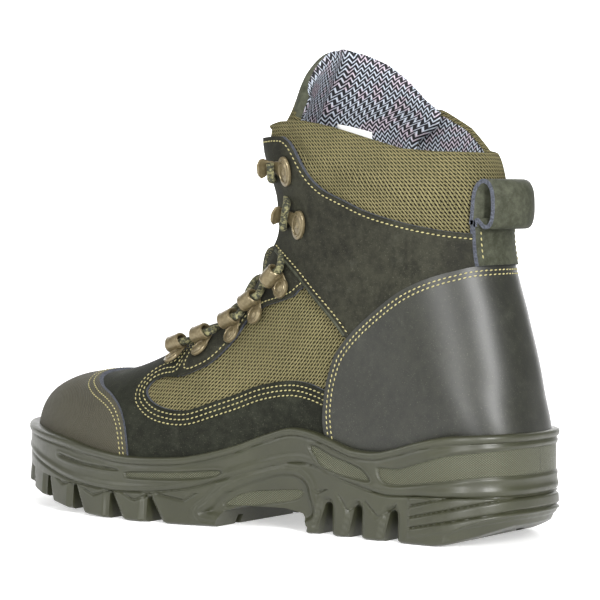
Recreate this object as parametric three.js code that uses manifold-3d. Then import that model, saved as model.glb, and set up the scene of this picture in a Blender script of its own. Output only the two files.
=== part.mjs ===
// A left lace-up winter boot, standing empty on its sole.
// Millimetres. +X runs to the toe, +Y to the left (the outer side of this left boot), +Z up.
// Lengths are laid out from the back of the heel. At the end the whole boot is moved,
// so that the origin lies on the floor under the middle of the heel.
import * as THREE from "three";
import { mergeVertices } from "three/addons/utils/BufferGeometryUtils.js";
import Module from "manifold-3d";

const wasm = await Module();
wasm.setup();

// Driving sizes
const LENGTH = 303; // back of the heel to the tip of the sole
const BALL_WIDTH = 106; // sole across the ball of the foot
const HEEL_WIDTH = 80; // sole across the heel
const SHAFT = 170; // footbed at the heel to the front of the collar
const HEEL_BED = 27; // floor to the footbed under the heel
const BALL_BED = 19; // floor to the footbed under the ball
const CUP_HEIGHT = 25; // footbed at the heel to the sole's rim behind it
const TOE_SPRING = 8; // rise of the footbed at the toe
const REST_AT = 63; // back of the heel to the middle of the heel's flat

// Thicknesses and clearances
const GAP = 0.3; // between pieces that touch on the real boot
const WALL = 2.2; // fabric and lining of the shell
const LEATHER = 1.7; // vamp, eyestays and quarters
const THICK_LEATHER = 2.7; // heel counter and toe cap, which lap over their neighbours
const COLLAR_PAD_OUT = 2.6; // how far the padded collar swells outwards
const COLLAR_PAD_IN = 5; // and inwards
const PAD_START = 6; // from the quarter's top edge up to where the padding begins
const TONGUE_THICK = 6;
const INSOLE_THICK = 4.5;
const SINK = 5; // how far the closed form runs on below the footbed before it is trimmed

const mix = (a, b, t) => a + (b - a) * t;
const clamp = (v, low = 0, high = 1) => Math.min(high, Math.max(low, v));
const smooth = (v) => clamp(v) ** 2 * (3 - 2 * clamp(v));

// Height of the footbed above the floor, x from the back of the heel.
const bed = (x) =>
  mix(HEEL_BED, BALL_BED, smooth((x / LENGTH - 0.22) / 0.42)) +
  TOE_SPRING * clamp((x / LENGTH - 0.68) / 0.32) ** 2;

// The width that a section's shares are of: the heel's at the back, the ball's in front.
const localWidth = (x) => mix(HEEL_WIDTH, BALL_WIDTH, smooth((x / LENGTH - 0.2) / 0.42));

// A point of the side view from shares: along the length, and up the shaft from the footbed.
const place = (at, up) => {
  const x = at * LENGTH;
  return [x, bed(x) + up * SHAFT];
};

// Sections of the last, from the tip of the toe round the instep to above the collar.
// Each runs from a point on the ridge (toe, instep, front of the shaft) to one on the sole or the back.
const PROFILE = [
  { ridgeAt: 0.976, ridgeUp: 0.09, endAt: 0.976, endUp: 0.055 },
  { ridgeAt: 0.97, ridgeUp: 0.132, endAt: 0.969, endUp: 0 },
  { ridgeAt: 0.955, ridgeUp: 0.175, endAt: 0.953, endUp: 0 },
  { ridgeAt: 0.925, ridgeUp: 0.214, endAt: 0.922, endUp: 0 },
  { ridgeAt: 0.879, ridgeUp: 0.25, endAt: 0.872, endUp: 0 },
  { ridgeAt: 0.816, ridgeUp: 0.277, endAt: 0.805, endUp: 0 },
  { ridgeAt: 0.745, ridgeUp: 0.311, endAt: 0.735, endUp: 0 },
  { ridgeAt: 0.67, ridgeUp: 0.366, endAt: 0.65, endUp: 0 },
  { ridgeAt: 0.593, ridgeUp: 0.433, endAt: 0.56, endUp: 0 },
  { ridgeAt: 0.533, ridgeUp: 0.514, endAt: 0.455, endUp: 0 },
  { ridgeAt: 0.497, ridgeUp: 0.606, endAt: 0.33, endUp: 0 },
  { ridgeAt: 0.479, ridgeUp: 0.682, endAt: 0.16, endUp: 0 },
  { ridgeAt: 0.467, ridgeUp: 0.738, endAt: 0.017, endUp: 0.05 },
  { ridgeAt: 0.462, ridgeUp: 0.788, endAt: 0.015, endUp: 0.24 },
  { ridgeAt: 0.461, ridgeUp: 0.836, endAt: 0.038, endUp: 0.43 },
  { ridgeAt: 0.466, ridgeUp: 0.886, endAt: 0.065, endUp: 0.6 },
  { ridgeAt: 0.478, ridgeUp: 0.945, endAt: 0.073, endUp: 0.745 },
  { ridgeAt: 0.48, ridgeUp: 1.01, endAt: 0.082, endUp: 0.89 },
  { ridgeAt: 0.455, ridgeUp: 1.09, endAt: 0.094, endUp: 1.03 },
  { ridgeAt: 0.405, ridgeUp: 1.27, endAt: 0.11, endUp: 1.23 },
];

// The same sections across. lateral and medial are half widths as shares of the local width.
// peak is where along the section it is widest. top and bottom are the squareness of its two ends.
const GIRTH = [
  { lateral: 0.03, medial: 0.055, peak: 0.5, top: 2, bottom: 2 },
  { lateral: 0.085, medial: 0.125, peak: 0.62, top: 2.1, bottom: 2.6 },
  { lateral: 0.155, medial: 0.21, peak: 0.66, top: 2.2, bottom: 3.4 },
  { lateral: 0.228, medial: 0.288, peak: 0.68, top: 2.3, bottom: 4 },
  { lateral: 0.31, medial: 0.362, peak: 0.7, top: 2.35, bottom: 4.5 },
  { lateral: 0.382, medial: 0.405, peak: 0.72, top: 2.35, bottom: 4.5 },
  { lateral: 0.43, medial: 0.418, peak: 0.74, top: 2.3, bottom: 4.5 },
  { lateral: 0.447, medial: 0.405, peak: 0.76, top: 2.15, bottom: 4.5 },
  { lateral: 0.43, medial: 0.348, peak: 0.77, top: 2.05, bottom: 4.2 },
  { lateral: 0.385, medial: 0.31, peak: 0.76, top: 2.05, bottom: 4 },
  { lateral: 0.37, medial: 0.325, peak: 0.72, top: 2.15, bottom: 4 },
  { lateral: 0.395, medial: 0.375, peak: 0.66, top: 2.3, bottom: 3.6 },
  { lateral: 0.395, medial: 0.39, peak: 0.6, top: 2.4, bottom: 2.9 },
  { lateral: 0.39, medial: 0.39, peak: 0.54, top: 2.5, bottom: 2.35 },
  { lateral: 0.392, medial: 0.392, peak: 0.5, top: 2.6, bottom: 2.1 },
  { lateral: 0.405, medial: 0.405, peak: 0.48, top: 2.6, bottom: 2.05 },
  { lateral: 0.425, medial: 0.42, peak: 0.48, top: 2.6, bottom: 2.1 },
  { lateral: 0.435, medial: 0.43, peak: 0.48, top: 2.5, bottom: 2.2 },
  { lateral: 0.44, medial: 0.43, peak: 0.48, top: 2.3, bottom: 2.3 },
  { lateral: 0.44, medial: 0.43, peak: 0.48, top: 2.3, bottom: 2.3 },
];

// Value of a table's column between its rows, on a smooth curve through them.
function between(rows, column, u) {
  const i = Math.min(rows.length - 2, Math.max(0, Math.floor(u)));
  const t = u - i;
  const at = (k) => rows[clamp(k, 0, rows.length - 1)][column];
  const [a, b, c, d] = [at(i - 1), at(i), at(i + 1), at(i + 2)];
  const rise = (c - a) / 2;
  const fall = (d - b) / 2;
  return (
    b * (2 * t ** 3 - 3 * t ** 2 + 1) +
    rise * (t ** 3 - 2 * t ** 2 + t) +
    c * (3 * t ** 2 - 2 * t ** 3) +
    fall * (t ** 3 - t ** 2)
  );
}

// Value of a table's column at a place named by its first column, straight between rows.
function lookUp(rows, key, column, value) {
  let i = 0;
  while (i < rows.length - 2 && value > rows[i + 1][key]) i++;
  const [a, b] = [rows[i], rows[i + 1]];
  return mix(a[column], b[column], clamp((value - a[key]) / (b[key] - a[key])));
}

// A point of the last: u counts sections from the toe, angle runs from the ridge (0)
// down the lateral side to the sole or back (PI), and on up the medial side.
function lastPoint(u, angle) {
  const profile = (column) => between(PROFILE, column, u);
  const girth = (column) => between(GIRTH, column, u);
  const [ridgeX, ridgeZ] = place(profile("ridgeAt"), profile("ridgeUp"));
  const [endX, endHeight] = place(profile("endAt"), profile("endUp"));
  const endZ = endHeight - SINK * smooth(1 - profile("endUp") / 0.05);
  const side = Math.sin(angle) >= 0 ? 1 : -1;
  const half = girth(side > 0 ? "lateral" : "medial");
  const c = Math.cos(angle);
  const peak = girth("peak");
  const power = 2 / (c >= 0 ? girth("top") : girth("bottom"));
  const along =
    c >= 0 ? peak * (1 - c ** power) : peak + (1 - peak) * Math.abs(c) ** power;
  const x = mix(ridgeX, endX, along);
  const width = localWidth(mix(ridgeX, endX, peak));
  return new THREE.Vector3(
    x,
    side * half * width * Math.abs(Math.sin(angle)) ** power,
    mix(ridgeZ, endZ, along),
  );
}

// Lines drawn on the upper, seen from the side: shares of the length, and of the shaft above the footbed.
// The edge of the padded collar stands higher on the medial side.
const COLLAR_EDGE = [
  { at: 0.0, lateral: 0.893, medial: 0.893 },
  { at: 0.09, lateral: 0.893, medial: 0.893 },
  { at: 0.13, lateral: 0.894, medial: 0.9 },
  { at: 0.18, lateral: 0.902, medial: 0.966 },
  { at: 0.24, lateral: 0.933, medial: 1.018 },
  { at: 0.3, lateral: 0.967, medial: 1.035 },
  { at: 0.36, lateral: 0.995, medial: 1.04 },
  { at: 0.42, lateral: 1.008, medial: 1.035 },
  { at: 0.55, lateral: 1.0, medial: 1.02 },
];
const QUARTER_TOP = [
  { at: -0.1, up: 0.668 },
  { at: 0.05, up: 0.669 },
  { at: 0.096, up: 0.675 },
  { at: 0.141, up: 0.688 },
  { at: 0.185, up: 0.706 },
  { at: 0.234, up: 0.731 },
  { at: 0.279, up: 0.766 },
  { at: 0.316, up: 0.798 },
  { at: 0.342, up: 0.838 },
  { at: 0.359, up: 0.882 },
  { at: 0.371, up: 0.918 },
  { at: 0.386, up: 0.946 },
  { at: 0.42, up: 0.962 },
  { at: 0.6, up: 0.97 },
];
const QUARTER_FRONT = [
  { at: 0.25, up: 0.33 },
  { at: 0.286, up: 0.409 },
  { at: 0.311, up: 0.454 },
  { at: 0.343, up: 0.506 },
  { at: 0.375, up: 0.56 },
  { at: 0.412, up: 0.612 },
  { at: 0.455, up: 0.66 },
  { at: 0.53, up: 0.715 },
  { at: 0.6, up: 0.75 },
];
const COUNTER_EDGE = [
  { at: 0.305, up: -0.04 },
  { at: 0.308, up: 0.05 },
  { at: 0.311, up: 0.107 },
  { at: 0.316, up: 0.162 },
  { at: 0.313, up: 0.231 },
  { at: 0.305, up: 0.294 },
  { at: 0.294, up: 0.345 },
  { at: 0.275, up: 0.385 },
  { at: 0.253, up: 0.42 },
  { at: 0.216, up: 0.47 },
  { at: 0.176, up: 0.518 },
  { at: 0.138, up: 0.55 },
  { at: 0.099, up: 0.573 },
  { at: 0.06, up: 0.588 },
  { at: -0.06, up: 0.6 },
];
const TOE_CAP_EDGE = [
  { at: 0.9, up: 0.45 },
  { at: 0.83, up: 0.3 },
  { at: 0.787, up: 0.262 },
  { at: 0.738, up: 0.239 },
  { at: 0.706, up: 0.21 },
  { at: 0.686, up: 0.167 },
  { at: 0.676, up: 0.116 },
  { at: 0.672, up: 0.07 },
  { at: 0.67, up: -0.04 },
];
const WINDOW_TOP = [
  { at: 0.34, up: 0.555 },
  { at: 0.376, up: 0.528 },
  { at: 0.389, up: 0.511 },
  { at: 0.424, up: 0.498 },
  { at: 0.458, up: 0.487 },
  { at: 0.486, up: 0.458 },
  { at: 0.503, up: 0.411 },
  { at: 0.527, up: 0.363 },
  { at: 0.55, up: 0.33 },
  { at: 0.591, up: 0.303 },
];
const WINDOW_FOOT = [
  { at: 0.6, up: 0.301 },
  { at: 0.63, up: 0.3 },
  { at: 0.652, up: 0.287 },
  { at: 0.659, up: 0.264 },
  { at: 0.65, up: 0.242 },
  { at: 0.628, up: 0.223 },
  { at: 0.598, up: 0.21 },
  { at: 0.564, up: 0.208 },
  { at: 0.523, up: 0.228 },
  { at: 0.48, up: 0.248 },
  { at: 0.441, up: 0.268 },
  { at: 0.388, up: 0.276 },
  { at: 0.35, up: 0.267 },
  { at: 0.319, up: 0.247 },
  { at: 0.25, up: 0.2 },
];

// Half width of the opening between the two rows of rings, against the section count.
const THROAT = [
  { u: 6.5, half: 0.019 },
  { u: 6.6, half: 0.087 },
  { u: 6.8, half: 0.144 },
  { u: 7.2, half: 0.181 },
  { u: 8, half: 0.212 },
  { u: 9, half: 0.227 },
  { u: 10, half: 0.237 },
  { u: 11, half: 0.250 },
  { u: 12.5, half: 0.269 },
  { u: 14.5, half: 0.300 },
  { u: 16, half: 0.325 },
  { u: 17.2, half: 0.350 },
];

const quarterTop = (x) => bed(x) + SHAFT * lookUp(QUARTER_TOP, "at", "up", x / LENGTH);
function collarEdge(x, y) {
  const medial = lookUp(COLLAR_EDGE, "at", "medial", x / LENGTH);
  const lateral = lookUp(COLLAR_EDGE, "at", "lateral", x / LENGTH);
  return bed(x) + SHAFT * mix(medial, lateral, smooth(0.5 + y / (0.7 * HEEL_WIDTH)));
}

// The form's grid. Its first rows are sections. The last ones close up to the collar's edge.
const ALONG = 18;
const ROUND = 20;
const COLLAR_FROM = 12.6; // section where the rows begin to close up
const ROLL = [0.22, 0.44, 0.64, 0.8, 0.92, 1]; // rows of the collar
const TOP_ROW = PROFILE.length - 1;

// Section count at which a line up the shaft meets the collar's edge.
function edgeRow(angle) {
  let low = COLLAR_FROM;
  let high = TOP_ROW;
  for (let n = 0; n < 30; n++) {
    const u = (low + high) / 2;
    const p = lastPoint(u, angle);
    if (p.z < collarEdge(p.x, p.y)) low = u;
    else high = u;
  }
  return low;
}

const angles = [];
for (let j = 0; j < ROUND; j++) angles.push((2 * Math.PI * j) / ROUND);
const ringAt = (u) => angles.map((a) => lastPoint(u, a));
const lowRows = [];
for (let i = 1; i <= ALONG; i++) lowRows.push(ringAt((COLLAR_FROM * i) / ALONG));
const collarRows = ROLL.map((t) => angles.map((a) => lastPoint(mix(COLLAR_FROM, edgeRow(a), t), a)));
const tallRows = [];
for (let u = COLLAR_FROM + 0.5; u <= TOP_ROW; u += 0.5) tallRows.push(ringAt(u));

const toeTip = lastPoint(0, 0).lerp(lastPoint(0, Math.PI), 0.5);
const quad = (a, b, c, d) => [
  [a, b, c],
  [a, c, d],
];

// Closed triangle mesh from points and faces.
function geometryOf(points, faces) {
  const g = new THREE.BufferGeometry().setFromPoints(points);
  g.setIndex(faces.flat());
  return g;
}

// Faces that skin rings of points, from a point at the toe on.
function skinFaces(first, rings, round, flip = false) {
  const faces = [];
  for (let j = 0; j < round; j++) {
    const k = (j + 1) % round;
    faces.push([first, first + 1 + k, first + 1 + j]);
    for (let i = 0; i + 1 < rings; i++) {
      const a = first + 1 + i * round;
      faces.push(...quad(a + k, a + round + k, a + round + j, a + j));
    }
  }
  return flip ? faces.map(([a, b, c]) => [a, c, b]) : faces;
}

// Rows of points on the last, with a normal for each point.
function skin(rows) {
  const points = [toeTip, ...rows.flat()];
  const g = geometryOf(points, skinFaces(0, rows.length, ROUND));
  g.computeVertexNormals();
  const normals = points.map((_, i) => new THREE.Vector3().fromBufferAttribute(g.attributes.normal, i));
  return { rows: rows.length, points, normals };
}
const lowSkin = skin([...lowRows, ...collarRows]);
const tallSkin = skin([...lowRows, ...tallRows]);

// Solid of a geometry, and geometry of a solid.
function solid(geometry) {
  const bare = geometry.clone();
  for (const name of Object.keys(bare.attributes)) {
    if (name !== "position") bare.deleteAttribute(name);
  }
  const merged = mergeVertices(bare, 1e-3);
  return new wasm.Manifold(
    new wasm.Mesh({
      numProp: 3,
      vertProperties: new Float32Array(merged.attributes.position.array),
      triVerts: new Uint32Array(merged.index.array),
    }),
  );
}
function geometryFrom(shape) {
  const mesh = shape.getMesh();
  const g = new THREE.BufferGeometry();
  g.setAttribute("position", new THREE.BufferAttribute(new Float32Array(mesh.vertProperties), 3));
  g.setIndex(new THREE.BufferAttribute(new Uint32Array(mesh.triVerts), 1));
  return g;
}

// The last as a solid, each point moved along its normal by growth, a size or a function of it.
function form(growth, from = lowSkin) {
  const grow = typeof growth === "function" ? growth : () => growth;
  const points = from.points.map((p, i) => p.clone().addScaledVector(from.normals[i], grow(p)));
  const faces = skinFaces(0, from.rows, ROUND);
  const last = 1 + (from.rows - 1) * ROUND;
  const lid = points.length;
  points.push(points[last].clone().lerp(points[last + ROUND / 2], 0.5));
  for (let j = 0; j < ROUND; j++) faces.push([last + j, last + ((j + 1) % ROUND), lid]);
  return solid(geometryOf(points, faces));
}

// How full the collar's padding is at a point, and how far its edge has rolled over.
function padding(p) {
  const low = quarterTop(p.x) + PAD_START;
  const t = clamp((p.z - low) / Math.max(1, collarEdge(p.x, p.y) - low));
  return smooth(t / 0.45);
}
const ROLL_ROWS = 3; // rows over which the collar's edge rounds off
function rolled(row) {
  const t = clamp((row - (lowSkin.rows - 1 - ROLL_ROWS)) / ROLL_ROWS);
  return Math.sqrt(Math.max(0, 1 - t * t));
}

// The shell of the upper: an outer and an inner skin joined along the collar's rounded edge.
function shell() {
  const points = [];
  const middle = (COLLAR_PAD_OUT - COLLAR_PAD_IN - WALL) / 2;
  for (const side of [1, -1]) {
    lowSkin.points.forEach((p, i) => {
      const full = padding(p);
      const far = side > 0 ? COLLAR_PAD_OUT * full : -WALL - COLLAR_PAD_IN * full;
      const edge = middle * full - (WALL / 2) * (1 - full);
      const move = i === 0 ? far : mix(edge, far, rolled(Math.floor((i - 1) / ROUND)));
      points.push(p.clone().addScaledVector(lowSkin.normals[i], move));
    });
  }
  const half = lowSkin.points.length;
  const faces = [...skinFaces(0, lowSkin.rows, ROUND), ...skinFaces(half, lowSkin.rows, ROUND, true)];
  return solid(geometryOf(points, faces));
}

// A block between two surfaces that are heights over the ground plan.
const FIELD = { back: -40, front: LENGTH + 40, side: 95, along: 24 };
function slab(low, high, strips = 1) {
  const points = [];
  const faces = [];
  const across = strips + 1;
  for (let i = 0; i <= FIELD.along; i++) {
    for (let j = 0; j <= strips; j++) {
      const x = mix(FIELD.back, FIELD.front, i / FIELD.along);
      const y = mix(-FIELD.side, FIELD.side, j / strips);
      points.push(new THREE.Vector3(x, y, low(x, y)), new THREE.Vector3(x, y, high(x, y)));
    }
  }
  const id = (i, j, top) => 2 * (i * across + j) + top;
  for (let i = 0; i < FIELD.along; i++) {
    for (let j = 0; j < strips; j++) {
      faces.push(...quad(id(i, j, 1), id(i + 1, j, 1), id(i + 1, j + 1, 1), id(i, j + 1, 1)));
      faces.push(...quad(id(i, j, 0), id(i, j + 1, 0), id(i + 1, j + 1, 0), id(i + 1, j, 0)));
    }
    const e = strips;
    faces.push(...quad(id(i, 0, 0), id(i + 1, 0, 0), id(i + 1, 0, 1), id(i, 0, 1)));
    faces.push(...quad(id(i, e, 0), id(i, e, 1), id(i + 1, e, 1), id(i + 1, e, 0)));
  }
  for (let j = 0; j < strips; j++) {
    const e = FIELD.along;
    faces.push(...quad(id(0, j, 0), id(0, j, 1), id(0, j + 1, 1), id(0, j + 1, 0)));
    faces.push(...quad(id(e, j, 0), id(e, j + 1, 0), id(e, j + 1, 1), id(e, j, 1)));
  }
  return solid(geometryOf(points, faces));
}

// An outline of the side view, drawn through a table's rows, as points in millimetres.
function line(rows, smoothness = 2) {
  const through = rows.map((row) => new THREE.Vector2(...place(row.at, row.up)));
  return new THREE.SplineCurve(through).getPoints((rows.length - 1) * smoothness);
}
const spot = (at, up) => new THREE.Vector2(...place(at, up));

// A prism with the outline of the side view, from one side of the boot to the other.
// grow moves its faces outwards.
function prism(outline, grow = 0, from = -95, to = 95) {
  const turn = THREE.ShapeUtils.isClockWise(outline) ? -1 : 1;
  const n = outline.length;
  const grown = outline.map((p, i) => {
    const along = outline[(i + 1) % n].clone().sub(outline[(i + n - 1) % n]).normalize();
    return new THREE.Vector2(p.x + turn * along.y * grow, p.y - turn * along.x * grow);
  });
  const g = new THREE.ExtrudeGeometry(new THREE.Shape(grown), {
    depth: to - from,
    bevelEnabled: false,
  });
  g.rotateX(Math.PI / 2);
  g.translate(0, to, 0);
  return solid(g);
}

// Normal to the ridge in the side view at a section.
function ridgeNormal(u) {
  const a = lastPoint(u - 0.2, 0);
  const b = lastPoint(u + 0.2, 0);
  const along = b.sub(a).normalize();
  return new THREE.Vector3(along.z, 0, -along.x);
}

// A solid along the ridge between sections: rows of near and far half widths and depths.
function ridgeSolid(rows) {
  const points = [];
  for (const row of rows) {
    const p = lastPoint(row.u, 0);
    const n = ridgeNormal(row.u);
    for (const [y, d] of [
      [row.lateral, 0.375],
      [row.lateral, -row.depth],
      [-row.medial, -row.depth],
      [-row.medial, 0.375],
    ]) {
      const out = n.clone().multiplyScalar(d * HEEL_WIDTH);
      points.push(new THREE.Vector3(p.x + out.x, y * HEEL_WIDTH, p.z + out.z));
    }
  }
  const faces = [];
  const e = 4 * (rows.length - 1);
  for (let i = 0; i + 1 < rows.length; i++) {
    for (let j = 0; j < 4; j++) {
      const a = 4 * i + j;
      const b = 4 * i + ((j + 1) % 4);
      faces.push(...quad(a, b, b + 4, a + 4));
    }
  }
  faces.push(...quad(3, 2, 1, 0), ...quad(e, e + 1, e + 2, e + 3));
  return solid(geometryOf(points, faces));
}

// Sole: half width and centre line as shares of the ball's width, with round ends.
const SOLE_PLAN = [
  { at: 0.0, half: 0.378, centre: 0 },
  { at: 0.1, half: 0.376, centre: 0 },
  { at: 0.165, half: 0.367, centre: 0.004 },
  { at: 0.231, half: 0.354, centre: 0.014 },
  { at: 0.297, half: 0.34, centre: 0.019 },
  { at: 0.363, half: 0.326, centre: 0.028 },
  { at: 0.429, half: 0.338, centre: 0.036 },
  { at: 0.495, half: 0.382, centre: 0.042 },
  { at: 0.561, half: 0.43, centre: 0.042 },
  { at: 0.627, half: 0.467, centre: 0.033 },
  { at: 0.693, half: 0.481, centre: 0.019 },
  { at: 0.759, half: 0.475, centre: 0.001 },
  { at: 0.825, half: 0.474, centre: -0.013 },
  { at: 0.891, half: 0.478, centre: -0.022 },
  { at: 1.0, half: 0.478, centre: -0.032 },
];
const HEEL_OVERHANG = 2.2; // how far the sole stands out behind the upper
const TOE_OVERHANG = 2.5;
const HEEL_ROUND = { reach: 0.15, power: 2.2 };
const TOE_ROUND = { reach: 0.25, power: 1.8 };
// Height of the sole's rim over the footbed, as a share of CUP_HEIGHT.
const RIM = [
  { at: 0.0, up: 0.980 },
  { at: 0.09, up: 0.920 },
  { at: 0.14, up: 0.780 },
  { at: 0.165, up: 0.680 },
  { at: 0.21, up: 0.540 },
  { at: 0.257, up: 0.567 },
  { at: 0.294, up: 0.746 },
  { at: 0.333, up: 0.917 },
  { at: 0.375, up: 1.019 },
  { at: 0.43, up: 0.860 },
  { at: 0.465, up: 0.720 },
  { at: 0.51, up: 0.607 },
  { at: 0.555, up: 0.526 },
  { at: 0.614, up: 0.508 },
  { at: 0.67, up: 0.500 },
  { at: 0.72, up: 0.555 },
  { at: 0.76, up: 0.600 },
  { at: 0.81, up: 0.667 },
  { at: 0.86, up: 0.679 },
  { at: 0.92, up: 0.660 },
  { at: 1.0, up: 0.600 },
];
// Height of the groove round the sole, as a share of the footbed's height.
const GROOVE = [
  { at: 0.0, up: 0.852 },
  { at: 0.145, up: 0.815 },
  { at: 0.191, up: 0.778 },
  { at: 0.238, up: 0.890 },
  { at: 0.277, up: 1.015 },
  { at: 0.314, up: 1.193 },
  { at: 0.353, up: 1.335 },
  { at: 0.389, up: 1.325 },
  { at: 0.439, up: 1.231 },
  { at: 0.498, up: 1.041 },
  { at: 0.551, up: 0.878 },
  { at: 0.614, up: 0.786 },
  { at: 0.677, up: 0.737 },
  { at: 0.739, up: 0.752 },
  { at: 0.805, up: 0.841 },
  { at: 0.865, up: 0.969 },
  { at: 0.94, up: 1.071 },
  { at: 1.0, up: 1.074 },
];
const rim = (x) => bed(x) + CUP_HEIGHT * lookUp(RIM, "at", "up", x / LENGTH);
const groove = (x) => bed(x) * lookUp(GROOVE, "at", "up", x / LENGTH);
const HEEL_BEVEL = { reach: 34, rise: 8.5 };
const TOE_RISE = { from: 0.7, rise: 14 };
const under = (x) =>
  HEEL_BEVEL.rise * clamp(1 - x / HEEL_BEVEL.reach) ** 1.6 +
  TOE_RISE.rise * clamp((x / LENGTH - TOE_RISE.from) / (1 - TOE_RISE.from)) ** 1.7;

const STATIONS = 22;
const soleLoop = [];
for (let k = 0; k < 2 * STATIONS; k++) {
  const share = (1 - Math.cos((Math.PI * k) / STATIONS)) / 2;
  const heel = clamp(1 - share / HEEL_ROUND.reach) ** HEEL_ROUND.power;
  const toe = clamp(1 - (1 - share) / TOE_ROUND.reach) ** TOE_ROUND.power;
  const round = (1 - heel) ** (1 / HEEL_ROUND.power) * (1 - toe) ** (1 / TOE_ROUND.power);
  const half = lookUp(SOLE_PLAN, "at", "half", share) * round;
  const centre = lookUp(SOLE_PLAN, "at", "centre", share);
  const side = k <= STATIONS ? -1 : 1;
  const x = mix(-HEEL_OVERHANG, LENGTH + TOE_OVERHANG, share);
  soleLoop.push(new THREE.Vector2(x, BALL_WIDTH * (centre + side * half)));
}
const soleOut = soleLoop.map((_, k) => {
  const n = soleLoop.length;
  const along = soleLoop[(k + 1) % n].clone().sub(soleLoop[(k + n - 1) % n]).normalize();
  return new THREE.Vector2(along.y, -along.x);
});

// A solid with the sole's outline. Each level has a height over the plan and a growth outwards.
function soleSolid(levels) {
  const n = soleLoop.length;
  const points = [];
  for (const [height, grow] of levels) {
    soleLoop.forEach((p, k) => {
      const q = p.clone().addScaledVector(soleOut[k], grow);
      points.push(new THREE.Vector3(q.x, q.y, height(p.x)));
    });
  }
  const faces = [];
  for (let i = 0; i + 1 < levels.length; i++) {
    for (let k = 0; k < n; k++) {
      const a = i * n + k;
      const b = i * n + ((k + 1) % n);
      faces.push(...quad(a, b, b + n, a + n));
    }
  }
  const top = (levels.length - 1) * n;
  for (let k = 0; k < STATIONS; k++) {
    const [a, b, c, d] = [k, k + 1, (n - k - 1) % n, (n - k) % n];
    if (k > 0) faces.push([a, d, c], [top + a, top + c, top + d]);
    if (k < STATIONS - 1) faces.push([a, c, b], [top + a, top + b, top + c]);
  }
  return solid(geometryOf(points, faces));
}

// Everything that is not between the rows of the sole's side: a skin to cut steps with.
const soleSkin = (depth) =>
  soleSolid([[() => -20, 4], [() => 90, 4]]).subtract(soleSolid([[() => -21, -depth], [() => 91, -depth]]));

const above = slab((x) => bed(x) + GAP, () => 320);
const throatHalf = (u) => HEEL_WIDTH * lookUp(THROAT, "u", "half", u);
const throatRows = THROAT.map(({ u, half }) => ({ u, lateral: half, medial: half, depth: 0.325 }));
const throat = ridgeSolid(throatRows);

// Outlines of the overlays. Those that lie under a neighbour run on beneath it and are cut by it.
const counterLine = [...line(COUNTER_EDGE), spot(-0.1, 0.6), spot(-0.1, -0.15), spot(0.305, -0.15)];
const toeLine = [...line(TOE_CAP_EDGE), spot(0.67, -0.3), spot(1.1, -0.3), spot(1.1, 0.45)];
const quarterLine = [
  ...line(QUARTER_FRONT),
  spot(0.62, 0.97),
  ...line(QUARTER_TOP).reverse(),
  spot(-0.1, 0.33),
];
const eyestayLine = [
  ...line(WINDOW_TOP),
  spot(0.599, 0.306),
  spot(0.607, 0.376),
  spot(0.614, 0.418),
  spot(0.65, 0.55),
  spot(0.6, 0.8),
  spot(0.5, 0.8),
  spot(0.4, 0.7),
  spot(0.3, 0.52),
  spot(0.27, 0.45),
];
const vampLine = [
  ...line(WINDOW_FOOT),
  spot(0.25, -0.2),
  spot(1.1, -0.2),
  spot(1.1, 0.6),
  spot(0.65, 0.6),
  spot(0.6, 0.4),
];

const counterCut = prism(counterLine, GAP);
const toeCut = prism(toeLine, GAP);
const quarterCut = prism(quarterLine, GAP);
const onPadding = (thickness) => form((p) => thickness + COLLAR_PAD_OUT * padding(p));
const near = onPadding(GAP);
const thin = onPadding(LEATHER).subtract(near).intersect(above);
const thick = onPadding(THICK_LEATHER).subtract(near).intersect(above);
const lateralHalf = solid(new THREE.BoxGeometry(600, 200, 600).translate(0, 100 + GAP / 2, 0));
const medialHalf = solid(new THREE.BoxGeometry(600, 200, 600).translate(0, -100 - GAP / 2, 0));

// The eyestay reaches lower on the medial side, where the instep falls away faster.
const MEDIAL_DROP = 7;
const lowered = eyestayLine.map((p) => new THREE.Vector2(p.x, p.y - MEDIAL_DROP));
const eyestayBlock = (grow) =>
  prism(eyestayLine, grow).intersect(lateralHalf).add(prism(lowered, grow).intersect(medialHalf));

const parts = {};
parts.upper = shell().intersect(above).subtract(throat);
parts.heel_counter = thick.intersect(prism(counterLine));
parts.toe_cap = thick.intersect(prism(toeLine));
const quarters = thin.intersect(prism(quarterLine)).subtract(counterCut).subtract(throat);
parts.quarter_outer = quarters.intersect(lateralHalf);
parts.quarter_inner = quarters.intersect(medialHalf);
const eyestays = thin
  .intersect(eyestayBlock(0))
  .subtract(quarterCut)
  .subtract(counterCut)
  .subtract(throat);
parts.eyestay_outer = eyestays.intersect(lateralHalf);
parts.eyestay_inner = eyestays.intersect(medialHalf);
parts.vamp = thin
  .intersect(prism(vampLine))
  .subtract(toeCut)
  .subtract(eyestayBlock(GAP))
  .subtract(quarterCut)
  .subtract(counterCut)
  .subtract(throat);

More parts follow.
